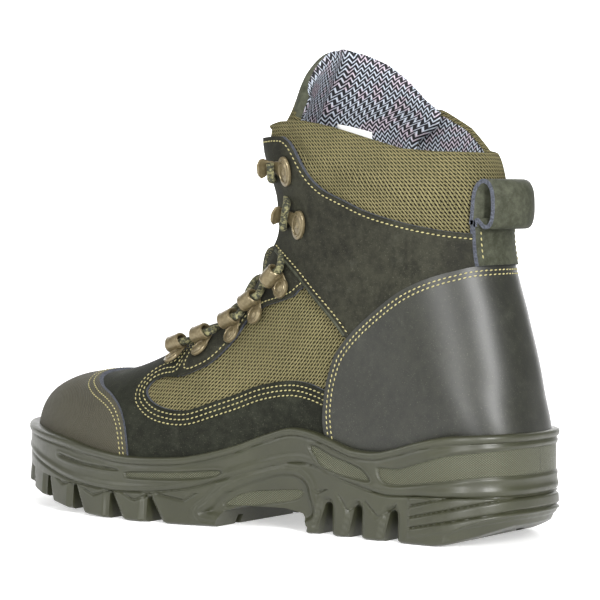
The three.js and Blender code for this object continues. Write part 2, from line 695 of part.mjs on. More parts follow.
// Footbed and tongue
const TONGUE = [
  { u: 5.9, lateral: 0.150, medial: 0.150, depth: 0.275 },
  { u: 6.2, lateral: 0.212, medial: 0.212, depth: 0.300 },
  { u: 6.8, lateral: 0.263, medial: 0.263, depth: 0.338 },
  { u: 8, lateral: 0.300, medial: 0.300, depth: 0.350 },
  { u: 10, lateral: 0.325, medial: 0.325, depth: 0.375 },
  { u: 12.5, lateral: 0.350, medial: 0.350, depth: 0.450 },
  { u: 15, lateral: 0.362, medial: 0.400, depth: 0.550 },
  { u: 16.4, lateral: 0.362, medial: 0.500, depth: 0.725 },
  { u: 17.4, lateral: 0.338, medial: 0.625, depth: 0.825 },
  { u: 18.3, lateral: 0.325, medial: 0.625, depth: 0.775 },
  { u: 19, lateral: 0.325, medial: 0.625, depth: 0.750 },
];
const TONGUE_TOP = [
  { at: 0.2, up: 0.959 },
  { at: 0.255, up: 1.013 },
  { at: 0.29, up: 1.068 },
  { at: 0.325, up: 1.128 },
  { at: 0.36, up: 1.177 },
  { at: 0.4, up: 1.210 },
  { at: 0.6, up: 1.237 },
];
function tongueTop(x, y) {
  const slope = 0.16 * smooth((y / HEEL_WIDTH + 0.025) / 0.375); // it is lower on the lateral side
  return bed(x) + SHAFT * (lookUp(TONGUE_TOP, "at", "up", x / LENGTH) - slope);
}
const PAD_FROM = { up: 0.58, over: 0.2 }; // where the tongue makes room for the collar's padding
function tongueDepth(p) {
  const room = smooth(((p.z - HEEL_BED) / SHAFT - PAD_FROM.up) / PAD_FROM.over);
  return WALL + 2 * GAP + COLLAR_PAD_IN * room;
}
parts.insole = form(-WALL - GAP).intersect(slab((x) => bed(x) + GAP, (x) => bed(x) + GAP + INSOLE_THICK));
parts.tongue = form((p) => -tongueDepth(p), tallSkin)
  .subtract(form((p) => -tongueDepth(p) - TONGUE_THICK, tallSkin))
  .intersect(ridgeSolid(TONGUE))
  .intersect(slab((x) => bed(x) + 0.18 * SHAFT, tongueTop, 10));

// Sole
const SOLE_FLOOR = 4.5; // least thickness of the midsole under the foot
const split = (x) => Math.min(groove(x), bed(x) - SOLE_FLOOR);
const EDGE_ROUND = 1.4;
const FLARE = 0.8; // how far the sole spreads towards the floor
const BEAD = { drop: 4.6, swell: 0.9 };
const cup = form(LEATHER + GAP)
  .add(form(THICK_LEATHER + GAP).intersect(counterCut.add(toeCut)))
  .intersect(slab(bed, () => 320));
const midsole = soleSolid([
  [(x) => split(x) + GAP / 2, -EDGE_ROUND / 2],
  [(x) => split(x) + EDGE_ROUND, 0],
  [(x) => rim(x) - BEAD.drop, 0],
  [(x) => rim(x) - BEAD.drop + 1, BEAD.swell],
  [(x) => rim(x) - EDGE_ROUND, BEAD.swell],
  [rim, -EDGE_ROUND / 2],
]).subtract(cup);
const treadBlock = soleSolid([
  [under, -EDGE_ROUND],
  [(x) => under(x) + EDGE_ROUND, FLARE],
  [(x) => split(x) - EDGE_ROUND, FLARE / 2],
  [(x) => split(x) - GAP / 2, -EDGE_ROUND / 2],
]);

const soleSpot = ({ at, up }) => new THREE.Vector2(at * LENGTH, up * bed(at * LENGTH));

// Steps in the sole's side: outlines in the side view, in shares of the length and of the
// footbed's height, each cut to its depth into the wall.
const SIDE_STEPS = [
  {
    depth: 0.9, // textured panel over the front of the heel
    rows: [
      { at: 0.337, up: 1.57 },
      { at: 0.328, up: 1.65 },
      { at: 0.29, up: 1.44 },
      { at: 0.252, up: 1.30 },
      { at: 0.23, up: 1.19 },
      { at: 0.219, up: 1.00 },
      { at: 0.252, up: 1.02 },
      { at: 0.29, up: 1.10 },
      { at: 0.313, up: 1.21 },
    ],
  },
  {
    depth: 0.9, // textured panel round the back of the heel
    rows: [
      { at: 0.206, up: 1.26 },
      { at: 0.169, up: 1.28 },
      { at: 0.124, up: 1.43 },
      { at: 0.065, up: 1.59 },
      { at: -0.05, up: 1.67 },
      { at: -0.05, up: 1.22 },
      { at: 0.037, up: 1.15 },
      { at: 0.106, up: 1.04 },
      { at: 0.188, up: 0.96 },
    ],
  },
  {
    depth: 0.9, // bar along the forefoot
    rows: [
      { at: 0.495, up: 1.30 },
      { at: 0.56, up: 1.32 },
      { at: 0.66, up: 1.29 },
      { at: 0.668, up: 1.16 },
      { at: 0.655, up: 1.08 },
      { at: 0.56, up: 1.09 },
      { at: 0.5, up: 1.14 },
    ],
  },
  {
    depth: 0.9, // bar beside the toe
    rows: [
      { at: 0.69, up: 1.34 },
      { at: 0.76, up: 1.36 },
      { at: 0.83, up: 1.42 },
      { at: 0.83, up: 1.32 },
      { at: 0.76, up: 1.26 },
      { at: 0.69, up: 1.24 },
    ],
  },
  {
    depth: 1.8, // hollow of the waist
    rows: [
      { at: 0.34, up: 0.20 },
      { at: 0.335, up: 0.78 },
      { at: 0.352, up: 1.07 },
      { at: 0.385, up: 1.17 },
      { at: 0.43, up: 1.09 },
      { at: 0.48, up: 0.88 },
      { at: 0.51, up: 0.53 },
      { at: 0.515, up: 0.24 },
    ],
  },
];
const HEEL_RIBS = [
  { front: 0.65, back: 1.05 },
  { front: 0.46, back: 0.83 },
  { front: 0.28, back: 0.61 },
];
const RIB_CUT = { wide: 1.5, depth: 0.9, from: 0.146 };
const LUG_GAPS = [
  { at: 0.176, wide: 6, up: 0.56 },
  { at: 0.243, wide: 6.5, up: 0.59 },
  { at: 0.3, wide: 6.5, up: 0.61 },
  { at: 0.62, wide: 7, up: 0.58 },
  { at: 0.7, wide: 7, up: 0.60 },
  { at: 0.79, wide: 7, up: 0.68 },
  { at: 0.872, wide: 7, up: 0.78 },
  { at: 0.94, wide: 6, up: 0.86 },
];
const LUG_DEPTH = 15; // how far the gaps run in from the side
const CHANNEL = { from: 15, to: 19, deep: 4.5 }; // ring channel of the tread
const WAIST = [
  { at: 0.343, up: -0.2 },
  { at: 0.338, up: 0.12 },
  { at: 0.352, up: 0.36 },
  { at: 0.385, up: 0.45 },
  { at: 0.46, up: 0.48 },
  { at: 0.492, up: 0.36 },
  { at: 0.508, up: -0.2 },
];
const sideCuts = SIDE_STEPS.map((step) => {
  const round = new THREE.SplineCurve([...step.rows, step.rows[0]].map(soleSpot));
  const outline = round.getPoints(step.rows.length * 2).slice(0, -1);
  return prism(outline).intersect(soleSkin(step.depth));
});
const slotted = (from, to, height) => {
  const xs = [0, 0.25, 0.5, 0.75, 1].map((t) => mix(from, to, t) * LENGTH);
  const band = (lift) => xs.map((x) => new THREE.Vector2(x, height(x) + lift));
  return [...band(-RIB_CUT.wide / 2), ...band(RIB_CUT.wide / 2).reverse()];
};
for (const rib of HEEL_RIBS) {
  const height = (x) => HEEL_BED * mix(rib.back, rib.front, clamp(x / (RIB_CUT.from * LENGTH)));
  sideCuts.push(prism(slotted(-0.03, RIB_CUT.from, height)).intersect(soleSkin(RIB_CUT.depth)));
}
const sideCut = sideCuts.reduce((sum, cut) => sum.add(cut));
const lugGaps = LUG_GAPS.map((gap) => {
  const x = gap.at * LENGTH;
  const w = gap.wide / 2;
  const arch = [0, 0.25, 0.5, 0.75, 1].map(
    (t) => new THREE.Vector2(x + w * Math.cos(Math.PI * t), gap.up * bed(x) - w + w * Math.sin(Math.PI * t)),
  );
  return prism([new THREE.Vector2(x + w, -9), ...arch, new THREE.Vector2(x - w, -9)]);
}).reduce((sum, gap) => sum.add(gap));
const tread = slab(() => -9, (x) => under(x) + CHANNEL.deep);
const ringChannel = soleSkin(CHANNEL.to).subtract(soleSkin(CHANNEL.from));
parts.outsole = treadBlock
  .subtract(prism(WAIST.map(soleSpot)))
  .subtract(sideCut)
  .subtract(lugGaps.intersect(soleSkin(LUG_DEPTH).add(tread)))
  .subtract(ringChannel.intersect(tread));
parts.midsole = midsole.subtract(sideCut);

const SEAT_GAP = 0.6; // under the flat plate of a fitting, which sits on curved leather

// Where a fitting sits: on the outer face of the leather, a given way out from the throat's edge.
function seat(u, out, side) {
  let low = 0;
  let high = Math.PI / 2;
  const want = throatHalf(u) + out;
  const at = (row, a) => lastPoint(row, side > 0 ? a : 2 * Math.PI - a);
  for (let n = 0; n < 30; n++) {
    const mid = (low + high) / 2;
    if (Math.abs(at(u, mid).y) < want) low = mid;
    else high = mid;
  }
  const p = at(u, low);
  const away = at(u, low + 0.12).sub(at(u, low - 0.12)).normalize();
  const along = at(u + 0.3, low).sub(at(u - 0.3, low)).multiplyScalar(side);
  const normal = away.clone().cross(along).normalize();
  return new THREE.Matrix4()
    .makeBasis(away, normal.clone().cross(away), normal)
    .setPosition(p.addScaledVector(normal, LEATHER + SEAT_GAP));
}

// A ring with its riveted tab. x runs away from the throat and z out of the leather.
const RING = { wide: 8, bar: 1.3, plate: 1.3, radius: 4, tab: 7.5, rivet: 1.9, head: 0.7 };
const FACETS = 10;
const block = (x, y, z) => new THREE.BoxGeometry(x, y, z);
const drum = (radius, length) => new THREE.CylinderGeometry(radius, radius, length, FACETS);
const disc = (radius, high) => solid(drum(radius, high).rotateX(Math.PI / 2).translate(RING.tab, 0, high / 2));
function fitting(open) {
  const centre = RING.radius + 0.2;
  const mouth = RING.radius - RING.bar;
  const foot = block(RING.radius, RING.wide, RING.plate).translate(RING.radius / 2, 0, RING.plate / 2);
  let ring = solid(drum(RING.radius, RING.wide).translate(0, 0, centre))
    .add(solid(foot))
    .subtract(solid(drum(mouth, RING.wide + 2).translate(0, 0, centre)));
  if (open) {
    const way = block(9, RING.wide + 2, 2 * mouth - 1).translate(4.5, 0, centre + 0.6);
    ring = ring.subtract(solid(way));
  }
  const plate = block(RING.tab, RING.wide, RING.plate).translate(RING.tab / 2, 0, RING.plate / 2);
  return solid(plate)
    .add(disc(RING.wide / 2, RING.plate))
    .add(ring)
    .add(disc(RING.rivet, RING.plate + RING.head));
}
const RINGS = [
  { name: "d_ring_1", u: 7.5, out: 6.5 },
  { name: "d_ring_2", u: 8.25, out: 6 },
  { name: "d_ring_3", u: 9.15, out: 4.5 },
  { name: "d_ring_4", u: 9.95, out: 3.5 },
  { name: "d_ring_5", u: 11.05, out: 3.5 },
  { name: "hook_1", u: 13.6, out: 3.5, open: true },
  { name: "hook_2", u: 15.6, out: 4, open: true },
];
const SIDES = { outer: 1, inner: -1 };
for (const ring of RINGS) {
  const made = geometryFrom(fitting(Boolean(ring.open)));
  for (const [word, side] of Object.entries(SIDES)) {
    const seated = made.clone().applyMatrix4(seat(ring.u, ring.out, side));
    parts[ring.name + "_" + word] = solid(seated);
  }
}

// Laces: two zigzags that cross over the tongue, and a bar between the lowest rings.
const LACE = 3.6; // thickness across
const LACE_IN = -3.5; // how far inside the throat's edge the turns lie
const LACE_UP = 4.4; // how far above the leather
const turnAt = (i, side) => {
  const m = seat(RINGS[i].u, LACE_IN, side);
  return new THREE.Vector3(0, 0, LACE_UP).applyMatrix4(m);
};
function cord(points) {
  const section = new THREE.Shape();
  section.absarc(0, 0, LACE / 2, 0, 2 * Math.PI);
  const g = new THREE.ExtrudeGeometry(section, {
    extrudePath: new THREE.CatmullRomCurve3(points, false, "catmullrom", 0.3),
    steps: (points.length - 1) * 2,
    curveSegments: 3,
    bevelEnabled: false,
  });
  return solid(g);
}
const LACE_OVER = 0; // how far above the form's ridge the laces cross
function crossing(u) {
  return lastPoint(u, 0).addScaledVector(ridgeNormal(u), LACE_OVER);
}
function zigzag(first) {
  const points = [];
  RINGS.forEach((ring, i) => {
    if (i > 0) points.push(crossing((RINGS[i - 1].u + ring.u) / 2));
    points.push(turnAt(i, i % 2 ? -first : first));
  });
  return points;
}
parts.laces = cord(zigzag(1))
  .add(cord(zigzag(-1)))
  .add(cord([turnAt(0, 1), crossing(RINGS[0].u), turnAt(0, -1)]));

// Pull loop: a strap folded into a loop that follows the back of the collar, with a strip below it.
const STRAP = { wide: 34, thick: 2 };
const LOOP = { z: HEEL_BED + 0.753 * SHAFT, deep: 12.5, tall: 23 };

// x of the back of the upper at a height and a distance from the middle
function backAt(y, z, growth) {
  const a = Math.PI * (y >= 0 ? 1 : -1);
  let best = { miss: 1e9 };
  for (let turn = 0; turn <= 0.4; turn += 0.01) {
    for (let u = 13; u < 18; u += 0.1) {
      const p = lastPoint(u, Math.abs(a) * (1 - turn) + (y >= 0 ? 0 : 2 * Math.PI * turn));
      const miss = Math.hypot(p.y - y, p.z - z);
      if (miss < best.miss) best = { miss, x: p.x };
    }
  }
  return best.x - growth;
}
function loop() {
  const points = [];
  const faces = [];
  const slices = 8;
  const round = 20;
  for (let i = 0; i <= slices; i++) {
    const y = mix(-STRAP.wide / 2, STRAP.wide / 2, i / slices);
    const front = backAt(y, LOOP.z, COLLAR_PAD_OUT - GAP);
    for (const inset of [0, STRAP.thick]) {
      for (let j = 0; j < round; j++) {
        const a = (2 * Math.PI * j) / round;
        const squash = (v) => Math.sign(v) * Math.abs(v) ** 0.8;
        points.push(
          new THREE.Vector3(
            front - LOOP.deep / 2 + (LOOP.deep / 2 - inset) * squash(Math.cos(a)),
            y,
            LOOP.z + (LOOP.tall / 2 - inset) * squash(Math.sin(a)),
          ),
        );
      }
    }
  }
  const id = (i, inner, j) => i * 2 * round + inner * round + (j % round);
  for (let j = 0; j < round; j++) {
    for (let i = 0; i < slices; i++) {
      faces.push(...quad(id(i, 0, j), id(i + 1, 0, j), id(i + 1, 0, j + 1), id(i, 0, j + 1)));
      faces.push(...quad(id(i, 1, j), id(i, 1, j + 1), id(i + 1, 1, j + 1), id(i + 1, 1, j)));
    }
    faces.push(...quad(id(0, 0, j), id(0, 0, j + 1), id(0, 1, j + 1), id(0, 1, j)));
    faces.push(...quad(id(slices, 0, j), id(slices, 1, j), id(slices, 1, j + 1), id(slices, 0, j + 1)));
  }
  return solid(geometryOf(points, faces));
}
const strapSide = [
  spot(-0.03, 0.45),
  spot(0.15, 0.45),
  new THREE.Vector2(0.15 * LENGTH, LOOP.z - LOOP.tall / 2 + STRAP.thick),
  new THREE.Vector2(-0.03 * LENGTH, LOOP.z - LOOP.tall / 2 + STRAP.thick),
];
const strapStrip = form(LEATHER + GAP + STRAP.thick)
  .subtract(form(LEATHER + GAP))
  .subtract(counterCut)
  .intersect(prism(strapSide, 0, -STRAP.wide / 2, STRAP.wide / 2));
parts.pull_loop = loop().add(strapStrip);

const MATERIALS = {
  leather: { color: 0x3e4036, roughness: 0.75 },
  knit: { color: 0x8a845a, roughness: 0.95 },
  lining: { color: 0x6a6c70, roughness: 0.95 },
  toe_rubber: { color: 0x524c3c, roughness: 0.8 },
  sole_rubber: { color: 0x484a38, roughness: 0.7 },
  hardware: { color: 0x786c52, roughness: 0.4, metalness: 0.6 },
  lace: { color: 0x4a4a3a, roughness: 0.9 },
};
const FINISH = {
  upper: "knit",
  insole: "lining",
  tongue: "knit",
  toe_cap: "toe_rubber",
  outsole: "sole_rubber",
  midsole: "sole_rubber",
  laces: "lace",
};
// Slivers that a cut leaves beside a piece are dropped.
function whole(shape) {
  const bodies = shape.decompose();
  return bodies.reduce((best, body) => (body.volume() > best.volume() ? body : best));
}
const boot = new THREE.Group();
boot.name = "winter_boot";
for (const [name, shape] of Object.entries(parts)) {
  const finish = FINISH[name] || (/ring|hook/.test(name) ? "hardware" : "leather");
  const look = { metalness: 0, ...MATERIALS[finish] };
  const mesh = new THREE.Mesh(geometryFrom(whole(shape)), new THREE.MeshStandardMaterial(look));
  mesh.name = name;
  boot.add(mesh);
}
boot.position.x = -REST_AT;
export default boot;
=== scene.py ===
# %% [markdown]
# # A winter boot in Blender
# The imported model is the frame: every piece below sits where its solid sits, in metres, with +X to the
# toe, +Y to the outer side of this left boot and +Z up.

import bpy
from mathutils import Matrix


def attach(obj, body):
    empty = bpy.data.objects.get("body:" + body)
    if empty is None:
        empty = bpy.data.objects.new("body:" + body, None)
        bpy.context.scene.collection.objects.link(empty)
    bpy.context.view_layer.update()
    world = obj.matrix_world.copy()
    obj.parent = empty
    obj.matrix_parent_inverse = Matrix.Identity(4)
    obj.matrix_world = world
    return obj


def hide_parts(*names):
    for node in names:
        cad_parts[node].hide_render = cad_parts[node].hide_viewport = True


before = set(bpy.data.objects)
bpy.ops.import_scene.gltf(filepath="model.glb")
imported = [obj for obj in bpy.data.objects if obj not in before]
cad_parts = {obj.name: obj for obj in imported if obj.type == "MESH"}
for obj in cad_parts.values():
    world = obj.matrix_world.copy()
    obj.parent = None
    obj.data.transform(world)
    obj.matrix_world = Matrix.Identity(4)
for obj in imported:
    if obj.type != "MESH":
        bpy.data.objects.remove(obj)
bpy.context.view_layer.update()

# %% [markdown]
# ## Camera, floor and light
# A long lens, low and from behind on the outer side, gives the view. The floor is a plain pale plane and
# large soft lights stand round it, as in a product studio. They stay small in number so that the glossy
# heel shows two soft vertical bands.

# %% Camera
import math

import bpy
import numpy as np
from mathutils import Matrix, Vector
from mathutils.bvhtree import BVHTree

MM = 0.001
LENS_PIXELS = 2415  # focal length in pixels of a frame 600 wide
FRAME_PIXELS = 600


def aim(thing, at):
    """Turns a camera or a light towards a point."""
    direction = Vector(at) - thing.location
    thing.rotation_euler = direction.to_track_quat("-Z", "Y").to_euler()


def deselect():
    bpy.ops.object.select_all(action="DESELECT")


bpy.ops.object.camera_add(location=(-0.6292, 0.9476, 0.1565))
camera = bpy.context.object
aim(camera, (0.072, 0, 0.105))
camera.data.sensor_width = 36
camera.data.lens = 36 * LENS_PIXELS / FRAME_PIXELS
camera.data.shift_y = 5.9 / FRAME_PIXELS
camera.data.clip_start = 0.05
bpy.context.scene.camera = camera
bpy.context.scene.view_settings.view_transform = "Standard"
print("camera lens", round(camera.data.lens, 1), "mm")

# %% Floor and lights
LIGHTS = [
    # name, place, aimed at, width, height, watts
    ("key", (-1.3, 0.82, 0.65), (-0.05, 0.02, 0.09), 0.24, 0.8, 26),
    ("second", (-0.45, 1.6, 0.45), (-0.04, 0.03, 0.09), 0.16, 0.8, 12),
    ("above", (-0.3, 0.7, 1.5), (0.03, 0, 0.1), 1.0, 1.0, 10),
    ("toe", (1.3, 1.3, 0.8), (0.12, 0, 0.08), 0.8, 1.0, 9),
    ("far", (0.5, -1.4, 1.3), (0.05, 0, 0.1), 1.2, 1.2, 10),
]
for name, place, target, width, height, watts in LIGHTS:
    bpy.ops.object.light_add(type="AREA", location=place)
    lamp = bpy.context.object
    lamp.name = "light_" + name
    lamp.data.shape = "RECTANGLE"
    lamp.data.size = width
    lamp.data.size_y = height
    lamp.data.energy = watts
    aim(lamp, target)

WORLD_LIGHT = 0.38
world = bpy.data.worlds.new("studio")
bpy.context.scene.world = world
world.use_nodes = True
world.node_tree.nodes["Background"].inputs["Color"].default_value = (1, 1, 1, 1)
world.node_tree.nodes["Background"].inputs["Strength"].default_value = WORLD_LIGHT

deselect()
bpy.ops.mesh.primitive_plane_add(size=14, location=(0, 0, 0))
floor = bpy.context.object
floor.name = "floor"
BACKDROP_FROM = 4  # metres behind the boot, square to the view
behind = (Vector((0.072, 0, 0)) - camera.location).normalized() * BACKDROP_FROM
bpy.ops.mesh.primitive_plane_add(size=6, location=(behind.x, behind.y, 0))
backdrop = bpy.context.object
backdrop.name = "backdrop"
backdrop.rotation_euler = (math.pi / 2, 0, math.atan2(behind.y, behind.x) + math.pi / 2)
print("lights:", len(LIGHTS))

# %% [markdown]
# ## Writing shader maths as Python
# A finish is a tree of nodes. `Wire` stands for one socket of it and lets plain arithmetic add the Math
# nodes; `Finish.node` adds any other node. That keeps each finish below as short as its recipe.


# %% Shader helpers
class Wire:
    """One output socket of a finish, on which arithmetic adds Math nodes."""

    def __init__(self, finish, socket):
        self.finish = finish
        self.socket = socket

    def math(self, operation, *values):
        return self.finish.node("ShaderNodeMath", dict(enumerate((self, *values))), operation=operation)

    def __add__(self, other):
        return self.math("ADD", other)

    def __sub__(self, other):
        return self.math("SUBTRACT", other)

    def __rsub__(self, other):
        return self.finish.node("ShaderNodeMath", {0: other, 1: self}, operation="SUBTRACT")

    def __mul__(self, other):
        return self.math("MULTIPLY", other)

    def __truediv__(self, other):
        return self.math("DIVIDE", other)

    __radd__ = __add__
    __rmul__ = __mul__

    def step(self, low, high):
        """0 below low, 1 above high and smooth between."""
        sockets = {"Value": self, "From Min": low, "From Max": high}
        return self.finish.node("ShaderNodeMapRange", sockets, interpolation_type="SMOOTHSTEP")


class Finish:
    """A material with one Principled shader and short ways to add nodes."""

    def __init__(self, name, roughness=0.6, metallic=0.0, **constants):
        self.material = bpy.data.materials.new(name)
        self.material.use_nodes = True
        self.tree = self.material.node_tree
        self.shader = self.tree.nodes["Principled BSDF"]
        self.set("Roughness", roughness)
        self.set("Metallic", metallic)
        for socket, value in constants.items():
            self.set(socket.replace("_", " "), value)

    def link(self, value, socket):
        if isinstance(value, Wire):
            self.tree.links.new(value.socket, socket)
        elif isinstance(value, tuple) and len(value) == 3 and socket.type == "RGBA":
            socket.default_value = (*value, 1)
        else:
            socket.default_value = value

    def set(self, name, value):
        self.link(value, self.shader.inputs[name])

    def node(self, kind, sockets=None, out=0, **settings):
        """Adds a node: its settings first, then the values or links of its sockets."""
        made = self.tree.nodes.new(kind)
        for key, value in settings.items():
            setattr(made, key, value)
        for key, value in (sockets or {}).items():
            self.link(value, made.inputs[key])
        return Wire(self, made.outputs[out])

    def place(self):
        return self.node("ShaderNodeTexCoord", out="Object")

    def uv(self):
        """The piece's own map, in millimetres along U and along V."""
        parts = self.node("ShaderNodeSeparateXYZ", {0: self.node("ShaderNodeTexCoord", out="UV")})
        return parts, Wire(self, parts.socket.node.outputs[1])

    def attribute(self, name):
        return self.node("ShaderNodeAttribute", out="Fac", attribute_name=name)

    def noise(self, size_mm, detail=3, rough=0.5):
        scale = 1 / (size_mm * MM)
        sockets = {"Vector": self.place(), "Scale": scale, "Detail": detail, "Roughness": rough}
        return self.node("ShaderNodeTexNoise", sockets)

    def mix(self, share, first, second):
        made = self.tree.nodes.new("ShaderNodeMix")
        made.data_type = "RGBA"
        for key, value in (("Factor", share), ("A", first), ("B", second)):
            wanted = "VALUE" if key == "Factor" else "RGBA"
            socket = next(s for s in made.inputs if s.name == key and s.type == wanted)
            self.link(value, socket)
        return Wire(self, next(s for s in made.outputs if s.type == "RGBA"))

    def bump(self, height, distance_mm, strength=1.0):
        sockets = {"Height": height, "Distance": distance_mm * MM, "Strength": strength}
        self.set("Normal", self.node("ShaderNodeBump", sockets))

    def two_tones(self, share, first, second):
        """Colours the finish between two codes."""
        self.set("Base Color", self.mix(share, colour(first), colour(second)))


def colour(code):
    """Linear colour of a six-digit code."""
    parts = [int(code[i : i + 2], 16) / 255 for i in (0, 2, 4)]
    return tuple(c / 12.92 if c < 0.04045 else ((c + 0.055) / 1.055) ** 2.4 for c in parts)


print("shader helpers ready")

# %% [markdown]
# ## Finishes
# Oiled leather is dark, mottled at the size of a palm and fine-grained; a worn spot is paler and small pale
# specks on it are painted glints. The heel's leather is smoother, so it takes a softer, brighter light.


# %% Leather
def leather(name, dark, light, roughness, grain, coat=0.0, rows=()):
    made = Finish(name, Specular_IOR_Level=0.07)
    cloud = made.noise(26, 5, 0.62)
    fine = made.noise(3.2, 4, 0.65)
    speck_and_glint = made.noise(0.55, 2)
    tone = (cloud * 0.5 + fine * 0.5).step(0.34, 0.7)
    worn = made.mix(tone, colour(dark), colour(light))
    scuff = made.noise(12, 6, 0.75).step(0.54, 0.74) * 0.22
    worn = made.mix(scuff, worn, colour("505147"))
    # small pale specks of 6d6e5c are painted glints; the same speck noise also roughens the grain's bump
    made.set("Base Color", made.mix(speck_and_glint.step(0.6, 0.78) * 0.3, worn, colour("6d6e5c")))
    made.set("Roughness", roughness + (fine - 0.5) * 0.35)
    pores = made.node("ShaderNodeTexVoronoi", {"Vector": made.place(), "Scale": 1 / (0.9 * MM)})
    height = (pores * 0.5 + speck_and_glint * 0.5 + made.noise(9, 3) * 2.2) * (0.1 * grain)
    if rows:
        edge = made.node("ShaderNodeUVMap", uv_map="Edge")
        inwards = made.node("ShaderNodeSeparateXYZ", {0: edge})
        height = height + inwards.step(-0.2, 1.2) * 0.5
        for row in rows:
            height = height - ((inwards - row) * 1.6).math("ABSOLUTE").step(1, 0) * 0.45
    made.bump(height, 1.0, 0.8)
    made.set("Coat Weight", coat)
    made.set("Coat Roughness", 0.4)
    return made.material


leather_side = leather("leather_side", "20201b", "35352c", 0.62, 1.0, rows=(2.2,))
leather_vamp = leather("leather_vamp", "1b1c17", "2c2e26", 0.68, 1.0, rows=(2.0, 4.4, 6.8))
leather_heel = leather("leather_heel", "191a14", "26271f", 0.4, 0.7, 0.9, rows=(2.2, 3.2, 4.2))
leather_strap = leather("leather_strap", "303228", "4e5044", 0.6, 1.0)

raw_edge = Finish("raw_edge", 0.9)
fray = raw_edge.noise(0.9, 3).step(0.3, 0.7)
raw_edge.two_tones(fray, "31343b", "4e525c")
raw_edge.bump(fray, 0.2)
raw_edge = raw_edge.material

felt = Finish("felt", 0.95)
felt.two_tones(felt.noise(1.2, 3).step(0.3, 0.7), "3b3927", "56533c")
felt.bump(felt.noise(0.8, 3), 0.3)
felt = felt.material
print("leathers:", leather_side.name, leather_heel.name, raw_edge.name)

# %% [markdown]
# The knit is a spacer mesh: slanted holes in staggered rows, with a yarn ridge between them. The holes are
# painted near-black as shade, and the strands carry painted highlight and shade. It is drawn on the piece's
# own map in millimetres, so it follows the cloth round the collar.


# %% Knit
ROW_TALL, HOLE_WIDE = 1.75, 1.9  # millimetres from one row or one hole to the next


def knit(name, yarn, shade):
    made = Finish(name, 0.92, Specular_IOR_Level=0.06)
    u, v = made.uv()
    wander = made.noise(7, 2)
    row = v / ROW_TALL + wander * 0.5
    line = u / HOLE_WIDE + row * 0.28 + row.math("FLOOR") * 0.5
    across = (line.math("FRACT") - 0.5) * HOLE_WIDE
    up = (row.math("FRACT") - 0.5) * ROW_TALL
    slanted = across + up * 0.55
    hole = (slanted * slanted * 2.6 + up * up * 1.15).math("SQRT")
    ridge = hole.step(0.42, 0.98)
    strand = ((u + v * 0.6) * 5.2).math("SINE") * 0.5 + 0.5
    # painted highlight and shade: the strand wave lightens each strand's crest from the shade colour to the
    # yarn colour
    lit = made.mix(strand * 0.45 + made.noise(16, 3) * 0.5, colour(shade), colour(yarn))
    # the holes are painted near-black 11110c as the shade inside them
    made.set("Base Color", made.mix(ridge, colour("11110c"), lit))
    made.bump(ridge + strand * 0.12, 0.8, 1.0)
    return made.material


knit_cloth = knit("knit_cloth", "8d8560", "4a4731")


def zigzag_lining():
    made = Finish("zigzag_lining", 0.9)
    u, v = made.uv()
    bend = (u / 3.6).math("PINGPONG", 0.5) * 1.9
    stripe = (v / 2.3 + bend + made.noise(15, 1) * 0.4).math("FRACT")
    band = (stripe - 0.5).math("ABSOLUTE").step(0.24, 0.14)
    ply = made.noise(0.7, 1).step(0.3, 0.6) * 0.35 + 0.65
    pale = made.mix(made.noise(6, 1).step(0.5, 0.62) * 0.5, colour("bcc4d0"), colour("c8a6b2"))
    made.set("Base Color", made.mix(band * ply, colour("131418"), pale))
    made.bump(band, 0.35)
    return made.material


lining_cloth = zigzag_lining()
print("cloths:", knit_cloth.name, lining_cloth.name)

# %% [markdown]
# Rubber is satin and almost even. The sole's sunk panels carry a fine crossed hatch, drawn where the
# piece's `hatch` attribute says, and the toe cap carries fine slanting ribs; the raised lines of both are
# painted paler as highlights.


# %% Rubbers, metal, cords
def rubber(name, tone, roughness):
    made = Finish(name, Specular_IOR_Level=0.55)
    patch = made.noise(22, 4, 0.6).step(0.3, 0.7)
    made.base = made.mix(patch, colour(tone), tuple(c * 1.25 for c in colour(tone)))
    made.set("Base Color", made.base)
    made.set("Roughness", roughness + (made.noise(2.5, 2) - 0.5) * 0.2)
    return made


def hatched_rubber():
    made = rubber("sole_rubber", "2e2f20", 0.38)
    u, v = made.uv()
    one = ((u + v * 1.3) * 2.3).math("SINE").math("ABSOLUTE")
    two = ((u - v * 1.3) * 2.3).math("SINE").math("ABSOLUTE")
    hatch = made.attribute("hatch")
    height = one.math("MINIMUM", two).step(0.1, 0.75) * hatch
    # the hatch's raised lines are painted paler 74765f as highlights; the same height drives the bump
    made.set("Base Color", made.mix(height * 0.8, made.base, colour("74765f")))
    made.bump(height + made.noise(0.6, 2) * 0.05, 0.7, 1.0)
    return made.material


def ribbed_rubber():
    made = rubber("toe_rubber", "322f21", 0.72)
    parts = made.node("ShaderNodeSeparateXYZ", {0: made.place()})
    y = Wire(made, parts.socket.node.outputs[1])
    z = Wire(made, parts.socket.node.outputs[2])
    ribs_and_highlight = ((z * 0.8 - parts * 0.6 + y * 0.2) * 6000).math("SINE") * 0.5 + 0.5
    # the ribs' crests are painted paler 4c4938 as highlights; the same wave drives the bump
    made.set("Base Color", made.mix(ribs_and_highlight * 0.45, made.base, colour("4c4938")))
    made.bump(ribs_and_highlight + made.noise(0.5, 2) * 0.2, 0.3, 0.9)
    return made.material


sole_rubber = hatched_rubber()
toe_rubber = ribbed_rubber()

enamel = Finish("enamel", 0.3, 0.45)
enamel.two_tones(enamel.noise(1.5, 3).step(0.3, 0.7), "665b42", "796e53")
enamel = enamel.material

thread = Finish("thread", 0.75)
thread.two_tones(thread.noise(0.5, 2).step(0.3, 0.7), "8b8458", "aea676")
thread = thread.material


